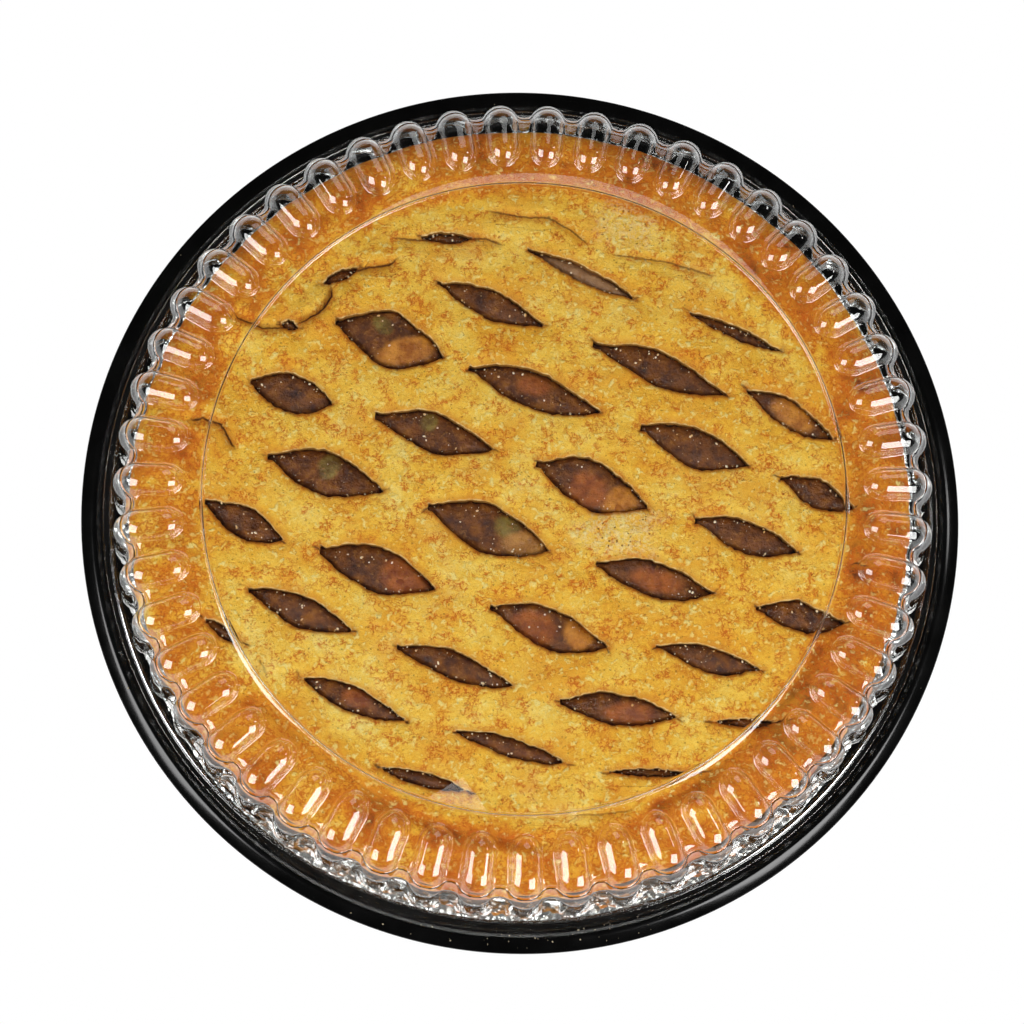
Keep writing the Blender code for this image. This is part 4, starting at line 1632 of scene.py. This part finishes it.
@dataclass
class FlutedDome:
    """Clear dome: flat panel with a stepped bead, round ribs that turn down into a fluted wall."""

    flutes: int = 51
    sheet: float = 0.32 * MM
    weld: float = 0.01 * MM
    panel_rise: float = 26.6 * MM
    panel_radius: float = 93.9 * MM
    bead_width: float = 1.7 * MM
    bead_height: float = 1.0 * MM
    bead_steps: int = 8
    ring_rise: float = 26.3 * MM
    ring_outer: float = 98.7 * MM
    rib_end: float = 106.3 * MM
    end_stretch: float = 1.24       # length of a rib's rounded end over its half-width
    rib_crest: float = 30.8 * MM
    rib_shares: tuple[float, ...] = (0.0, 0.05, 0.95)       # sections along the rib's straight
    shoulder_centre: Point2 = (112.37 * MM, 23.15 * MM)
    shoulder_crest: float = 7.0 * MM
    shoulder_valley: float = 3.1 * MM
    shoulder_tilts: tuple[float, ...] = (5.0, 14.0, 23.0, 32.0, 41.0, 50.0, 58.0, 66.0)
    # Wall: crest's radius and rise, valley's radius and rise, in mm, and blend
    wall: tuple[tuple[float, ...], ...] = (
        (119.05, 26.05, 115.6, 24.5, 0.75), (119.2, 25.5, 115.7, 23.9, 0.8),
        (120.8, 21.7, 117.3, 20.3, 0.95), (121.15, 21.5, 117.7, 20.1, 1.0),
        (121.4, 21.0, 117.95, 19.6, 1.0), (121.35, 20.3, 117.95, 18.9, 1.0),
        (121.45, 19.3, 118.05, 18.1, 1.0), (121.95, 12.0, 118.7, 11.5, 1.0),
        (122.6, 3.4, 119.5, 3.4, 1.0), (122.8, 1.5, 119.75, 1.5, 1.0),
        (123.0, 0.95, 120.1, 0.95, 1.0),
    )
    # Flange: radius, and rise above its plain face, in mm, with the stiffening bead
    flange: tuple[Point2, ...] = (
        (123.3, 0.0), (123.5, 0.15), (123.7, 1.05), (123.95, 1.35), (124.2, 1.35), (124.45, 1.0),
        (124.65, 0.12), (124.85, 0.0), (125.75, 0.0), (126.05, 0.16), (126.3, 0.04),
    )
    flange_rise: float = 0.9        # mm
    spread: Point2 = (74.0, 56.0)   # degrees from crest to fillet, on the ridge and on the wall
    rounding: Point2 = (4.9, 5.8)   # radius of the crest there, mm
    fillet: Point2 = (0.8, 2.0)     # radius of the fillet there, mm
    round_steps: int = 7
    fillet_steps: int = 3
    end_steps: int = 8              # steps of each quarter turn round a rib's end

    def on_shoulder(self, reach: float, tilt_deg: float) -> Point2:
        """A place on the shoulder's arc, between the ribs and the wall.

        Args:
            reach: Radius of the arc.
            tilt_deg: Degrees from straight up.

        Returns:
            (radius, rise) of the place.
        """
        tilt = math.radians(tilt_deg)
        return (self.shoulder_centre[0] + reach * math.sin(tilt),
                self.shoulder_centre[1] + reach * math.cos(tilt))

    def stations(self) -> list[Station]:
        """Cross-sections of a flute.

        Returns:
            The sections, from the rib's inner end to the foot of the wall.
        """
        turned = [
            Station(self.on_shoulder(self.shoulder_crest, tilt),
                    self.on_shoulder(self.shoulder_valley, tilt),
                    0.7 * (i / (len(self.shoulder_tilts) - 1)) ** 2)
            for i, tilt in enumerate(self.shoulder_tilts)
        ]
        inner, outer = ((self.rib_end, self.rib_crest), (self.rib_end, self.ring_rise)), turned[0]
        straight = [
            Station(*(
                tuple(a + share * (b - a) for a, b in zip(start, end))
                for start, end in zip(inner, (outer.crest, outer.valley))
            ), 0.0)
            for share in self.rib_shares
        ]
        wall = [
            Station((crest * MM, crest_rise * MM), (valley * MM, valley_rise * MM), blend)
            for crest, crest_rise, valley, valley_rise, blend in self.wall
        ]
        return [*straight, *turned, *wall]

    def section(self, blend: float) -> list[Point2]:
        """Half a flute across, from the crest to the foot of the fillet.

        Args:
            blend: 0 for the ridge, 1 for the wall.

        Returns:
            Distance from the middle line and share of the way down, by column.
        """
        spread, big, small = (
            ridge + blend * (wall - ridge) for ridge, wall in (self.spread, self.rounding, self.fillet)
        )
        spread, big, small = math.radians(spread), big * MM, small * MM
        down = (big + small) * (1.0 - math.cos(spread))
        points = []
        for step in range(self.round_steps + 1):
            a = spread * step / self.round_steps
            points.append((big * math.sin(a), big * (1.0 - math.cos(a)) / down))
        for step in range(1, self.fillet_steps + 1):
            a = spread * (1.0 - step / self.fillet_steps)
            across = (big + small) * math.sin(spread) - small * math.sin(a)
            points.append((across, 1.0 - small * (1.0 - math.cos(a)) / down))
        return points

    def inner_rings(self) -> list[Point2]:
        """Panel's edge, its bead and step, and the plain ring outside it.

        Returns:
            (radius, rise) of each ring, from the panel out.
        """
        top, low = self.panel_rise, self.ring_rise
        bead = []
        for step in range(self.bead_steps + 1):
            share = step / self.bead_steps
            hump = 0.5 * self.bead_height * (1.0 - math.cos(math.tau * share))
            bead.append((self.panel_radius + share * self.bead_width, top + share * (low - top) + hump))
        return [*bead, (self.ring_outer, low)]

    def place(self, radius: float, across: float, rise: float) -> Point3:
        """A point beside a flute's middle line, which is turned half a flute from +Y.

        Args:
            radius: Distance from the axis along the middle line.
            across: Distance from the middle line.
            rise: Height above the lip.

        Returns:
            The point.
        """
        turn = 0.5 * math.pi + math.pi / self.flutes
        c, s = math.cos(turn), math.sin(turn)
        return radius * c - across * s, radius * s + across * c, LIP + rise

    def polar(self, radius: float, share: float, rise: float) -> Point3:
        """A point at a radius, and at a share of the turn from a flute's middle to its valley."""
        angle = share * math.pi / self.flutes
        return self.place(radius * math.cos(angle), radius * math.sin(angle), rise)

    def ring(self, radius: float, rise: float, steps: int) -> list[Point3]:
        """One row along a plain ring, from valley to valley."""
        return [self.polar(radius, 2.0 * i / steps - 1.0, rise) for i in range(steps + 1)]

    def body_rows(self) -> Rows:
        """Rows across a flute, from valley to valley.

        Returns:
            The rows, from the rib's end to the flange's edge.
        """
        rows = []
        for station in self.stations():
            (r0, z0), (r1, z1) = station.crest, station.valley
            half = [(w, r0 + d * (r1 - r0), z0 + d * (z1 - z0)) for w, d in self.section(station.blend)]
            rows.append([
                self.polar(r1, -1.0, z1), *(self.place(r, -w, z) for w, r, z in reversed(half[1:])),
                *(self.place(r, w, z) for w, r, z in half), self.polar(r1, 1.0, z1),
            ])
        for radius, rise in self.flange:
            rows.append(self.ring(radius * MM, (self.flange_rise + rise) * MM, len(rows[0]) - 1))
        return rows

    def end_rows(self) -> Rows:
        """Fan of rows round the rib's rounded inner end.

        Returns:
            The rows, from one valley to the other.
        """
        rows = []
        for step in range(-self.end_steps, self.end_steps + 1):
            share = step / self.end_steps
            c, s = math.cos(0.5 * math.pi * share), math.sin(0.5 * math.pi * share)
            row = [
                self.place(self.rib_end - self.end_stretch * w * c, w * s,
                           self.rib_crest + d * (self.ring_rise - self.rib_crest))
                for w, d in self.section(0.0)
            ]
            out = max(2.0 * abs(share) - 1.0, 0.0)
            radius = self.ring_outer + out * (self.rib_end - self.ring_outer)
            row.append(self.polar(radius, max(-1.0, min(2.0 * share, 1.0)), self.ring_rise))
            rows.append(row)
        return rows

    def patch(self, rows: Rows) -> Piece:
        """A grid drawn through rows of points.

        Args:
            rows: Equal rows of places.

        Returns:
            The patch.
        """
        deselect_all()
        bpy.ops.mesh.primitive_grid_add(
            x_subdivisions=len(rows[0]) - 1, y_subdivisions=len(rows) - 1, size=1.0
        )
        piece = new_piece("dome_patch")
        set_coords(piece, np.array(rows).reshape(-1, 3))
        return piece

    def fill_panel(self, piece: Piece) -> None:
        """Close the round opening in the middle with one flat face, and face the sheet up.

        Args:
            piece: The dome's open sheet.
        """
        shape = bmesh.new()
        shape.from_mesh(piece.data)
        limit = self.panel_radius + 0.1 * MM
        rim = [e for e in shape.edges if e.is_boundary and math.hypot(*e.verts[0].co.xy) < limit]
        bmesh.ops.contextual_create(shape, geom=rim)
        bmesh.ops.recalc_face_normals(shape, faces=shape.faces)
        if max(shape.faces, key=lambda f: f.calc_area()).normal.z < 0.0:
            bmesh.ops.reverse_faces(shape, faces=shape.faces)
        shape.to_mesh(piece.data)
        shape.free()

    def build(self) -> None:
        """Model and dress the dome: one flute, turned fifty-one times."""
        rings = [self.ring(radius, rise, self.end_steps) for radius, rise in self.inner_rings()]
        patches = [self.patch(rows) for rows in (self.body_rows(), self.end_rows(), rings)]
        piece = joined(patches, "fluted_clear_dome")
        open_up(piece)
        bpy.ops.mesh.remove_doubles(threshold=self.weld)
        bpy.ops.mesh.spin(
            steps=self.flutes, dupli=True, angle=math.tau, center=(0.0, 0.0, 0.0), axis=(0.0, 0.0, 1.0),
            use_normal_flip=False,
        )
        bpy.ops.mesh.select_all(action="SELECT")
        bpy.ops.mesh.remove_doubles(threshold=self.weld)
        put_down()
        self.fill_panel(piece)
        apply_modifier(piece, "SOLIDIFY", thickness=self.sheet, offset=-1.0, use_even_offset=True)
        hand_over(piece, 85.0, ClearDomeSheet(), "clear_plastic", "dome")


# ---------------------------------------------------------------- crumbs


@dataclass
class Crumbs:
    """Rough crumbs of random sizes, laid on a surface as one mesh."""

    least: float
    most: float
    small: float        # power that favours the small ones

    def size(self, chance: random.Random) -> float:
        """Size of the next crumb."""
        return self.least + (self.most - self.least) * chance.random() ** self.small

    def scatter(self, name: str, spots: Sequence[tuple[float, ...]], chance: random.Random) -> Piece:
        """Lay the crumbs on given spots.

        Args:
            name: The piece's name.
            spots: x, y, z and size of each crumb.
            chance: Source of their turns and shapes.

        Returns:
            The crumbs.
        """
        deselect_all()
        for x, y, z, size in spots:
            bpy.ops.mesh.primitive_ico_sphere_add(
                subdivisions=1,
                radius=size,
                location=(x, y, z + 0.4 * size),
                rotation=[chance.uniform(0.0, math.pi) for _ in range(3)],
                scale=(chance.uniform(0.7, 1.4), chance.uniform(0.6, 1.0), 0.7),
            )
            if bpy.context.object.mode == "OBJECT":
                piece = new_piece(name)
                bpy.ops.object.transform_apply(location=True, rotation=True, scale=True)
                bpy.ops.object.mode_set(mode="EDIT")
        put_down()
        return piece


@dataclass(kw_only=True)
class TrayCrumbs(Crumbs):
    """Crumbs of pastry that fell on the tray's lip, most of them in front."""

    tray: CarryTray
    least: float = 0.08 * MM
    most: float = 0.34 * MM
    small: float = 2.0
    count: int = 60
    inner: float = 126.7 * MM
    outer: float = 131.6 * MM
    in_front: float = 0.7       # share of the crumbs that lie in front
    front_spread: float = 0.22  # how far round they lie, radians

    def build(self) -> None:
        """Model and dress the crumbs."""
        chance = random.Random(19)
        radii, heights = zip(*self.tray.profile()[:-1])
        spots = []
        for _ in range(self.count):
            front = chance.random() < self.in_front
            turn = (chance.gauss(-0.5 * math.pi, self.front_spread) if front
                    else chance.uniform(0.0, math.tau))
            radius = chance.uniform(self.inner, self.outer)
            height = float(np.interp(radius, radii, heights))
            spots.append((radius * math.cos(turn), radius * math.sin(turn), height, self.size(chance)))
        piece = self.scatter("crumbs_on_tray", spots, chance)
        hand_over(piece, 20.0, PastryCrumb("6E6450", "A89C80"), "crust")


@dataclass(kw_only=True)
class FruitCrumbs(Crumbs):
    """Crumbs and sugar on the fruit, thickest along the openings' edges."""

    filling: FruitFilling
    least: float = 0.11 * MM
    most: float = 0.50 * MM
    small: float = 2.5
    each: int = 34              # crumbs in an opening of the common length
    common: float = 39.0 * MM

    def build(self) -> None:
        """Model and dress the crumbs."""
        chance = random.Random(5)
        spots = []
        for opening in self.filling.crust.openings:
            for _ in range(round(self.each * opening.length / self.common)):
                along = 0.45 * opening.length * chance.uniform(-1.0, 1.0)
                near_edge = math.copysign(chance.random() ** 0.5, chance.uniform(-1.0, 1.0))
                reach = 0.46 * opening.width * (1.0 - (2.0 * abs(along) / opening.length) ** 1.7)
                spots.append((*opening.from_local(along, near_edge * reach), self.size(chance)))
        x, y, size = np.array(spots).T
        spots = np.stack([x, y, self.filling.surface(x, y), size], 1).tolist()
        piece = self.scatter("crumbs_on_fruit", spots, chance)
        hand_over(piece, 20.0, PastryCrumb("D8A860", "F8E8C8"), "crust")


# ---------------------------------------------------------------- studio


@dataclass
class Softbox:
    """Square soft light aimed at the pie."""

    name: str
    direction: Point3
    power: float
    distance: float = 0.9
    size: float = 0.62
    turn: float = 45.0          # about its own axis, degrees
    mirrored: bool = True       # whether glossy surfaces show it

    def place(self) -> None:
        """Add the light."""
        light = bpy.data.lights.new(self.name, "AREA")
        light.shape, light.size, light.energy = "SQUARE", self.size, self.power
        lamp = bpy.data.objects.new(self.name, light)
        lamp.visible_glossy = self.mirrored
        towards = Vector(self.direction).normalized()
        lamp.location = Vector((0.0, 0.0, LIP)) + towards * self.distance
        turn = Matrix.Rotation(math.radians(self.turn), 3, "Z")
        lamp.rotation_euler = (towards.to_track_quat("Z", "Y").to_matrix() @ turn).to_euler()
        bpy.context.scene.collection.objects.link(lamp)


@dataclass
class Studio:
    """Pale floor, softboxes, a dim room and the camera above the pie."""

    azimuth: float = math.radians(-9.389)
    elevation: float = math.radians(78.661)
    distance: float = 861.78 * MM
    target: Point3 = (-3.018 * MM, -0.549 * MM, LIP)
    lens: float = 100.0
    sensor: float = 36.0
    softboxes: tuple[Softbox, ...] = (
        Softbox("softbox_left", (-0.775, -0.345, 0.53), 7.9),
        Softbox("softbox_right", (0.63, -0.567, 0.53), 9.2),
        Softbox("small_lamp_right", (0.81, 0.16, 0.56), 0.35, size=0.12),
        Softbox("far_fill", (0.15, 0.75, 0.60), 3.2, mirrored=False),
    )
    room_light: float = 0.03
    sweep_light: float = 0.10
    sweep_edge: Point2 = (0.12, 0.30)       # rise of the sweep's soft upper edge

    def room(self) -> bpy.types.World:
        """The room: dark overhead, with a white sweep round the horizon.

        Returns:
            The world that lights the pie.
        """
        r = Recipe(bpy.data.worlds.new("room_with_white_sweep"))
        rise = r.add("SeparateXYZ", r.add("TexCoord").outputs["Generated"]).outputs["Z"]
        light = r.add("MapRange", rise, *self.sweep_edge, self.sweep_light, self.room_light)
        return r.finish(r.add("Background", Color="FFFFFF", Strength=light))

    def place_camera(self) -> None:
        """Add the camera, upright to the pie's +Y."""
        back = Vector((
            math.cos(self.elevation) * math.sin(self.azimuth),
            -math.cos(self.elevation) * math.cos(self.azimuth),
            math.sin(self.elevation),
        ))
        right = (-back).cross(Vector((0.0, 1.0, 0.0))).normalized()
        turn = Matrix((right, back.cross(right), back)).transposed().to_4x4()
        data = bpy.data.cameras.new("camera")
        data.lens, data.sensor_width = self.lens, self.sensor
        camera = bpy.data.objects.new("camera", data)
        camera.matrix_world = Matrix.Translation(Vector(self.target) + back * self.distance) @ turn
        bpy.context.scene.collection.objects.link(camera)
        bpy.context.scene.camera = camera

    def build(self) -> None:
        """Add floor, lights, room and camera."""
        deselect_all()
        bpy.ops.mesh.primitive_plane_add(size=6.0)
        floor = new_piece("floor")
        floor.data.materials.append(PaleFloor().make())
        for softbox in self.softboxes:
            softbox.place()
        bpy.context.scene.world = self.room()
        bpy.context.scene.view_settings.view_transform = "Standard"
        self.place_camera()


def main() -> None:
    """Build the studio, then every piece of the pack in it."""
    logging.basicConfig(level=logging.INFO, format="%(message)s")
    Studio().build()
    tray, crust = CarryTray(), LatticeCrust(Lattice())
    filling = FruitFilling(crust)
    for part in (tray, FoilPan(crust.lean), crust, filling, StewedApples(filling), FlutedDome(),
                 TrayCrumbs(tray=tray), FruitCrumbs(filling=filling)):
        part.build()


if __name__ == "__main__":
    main()
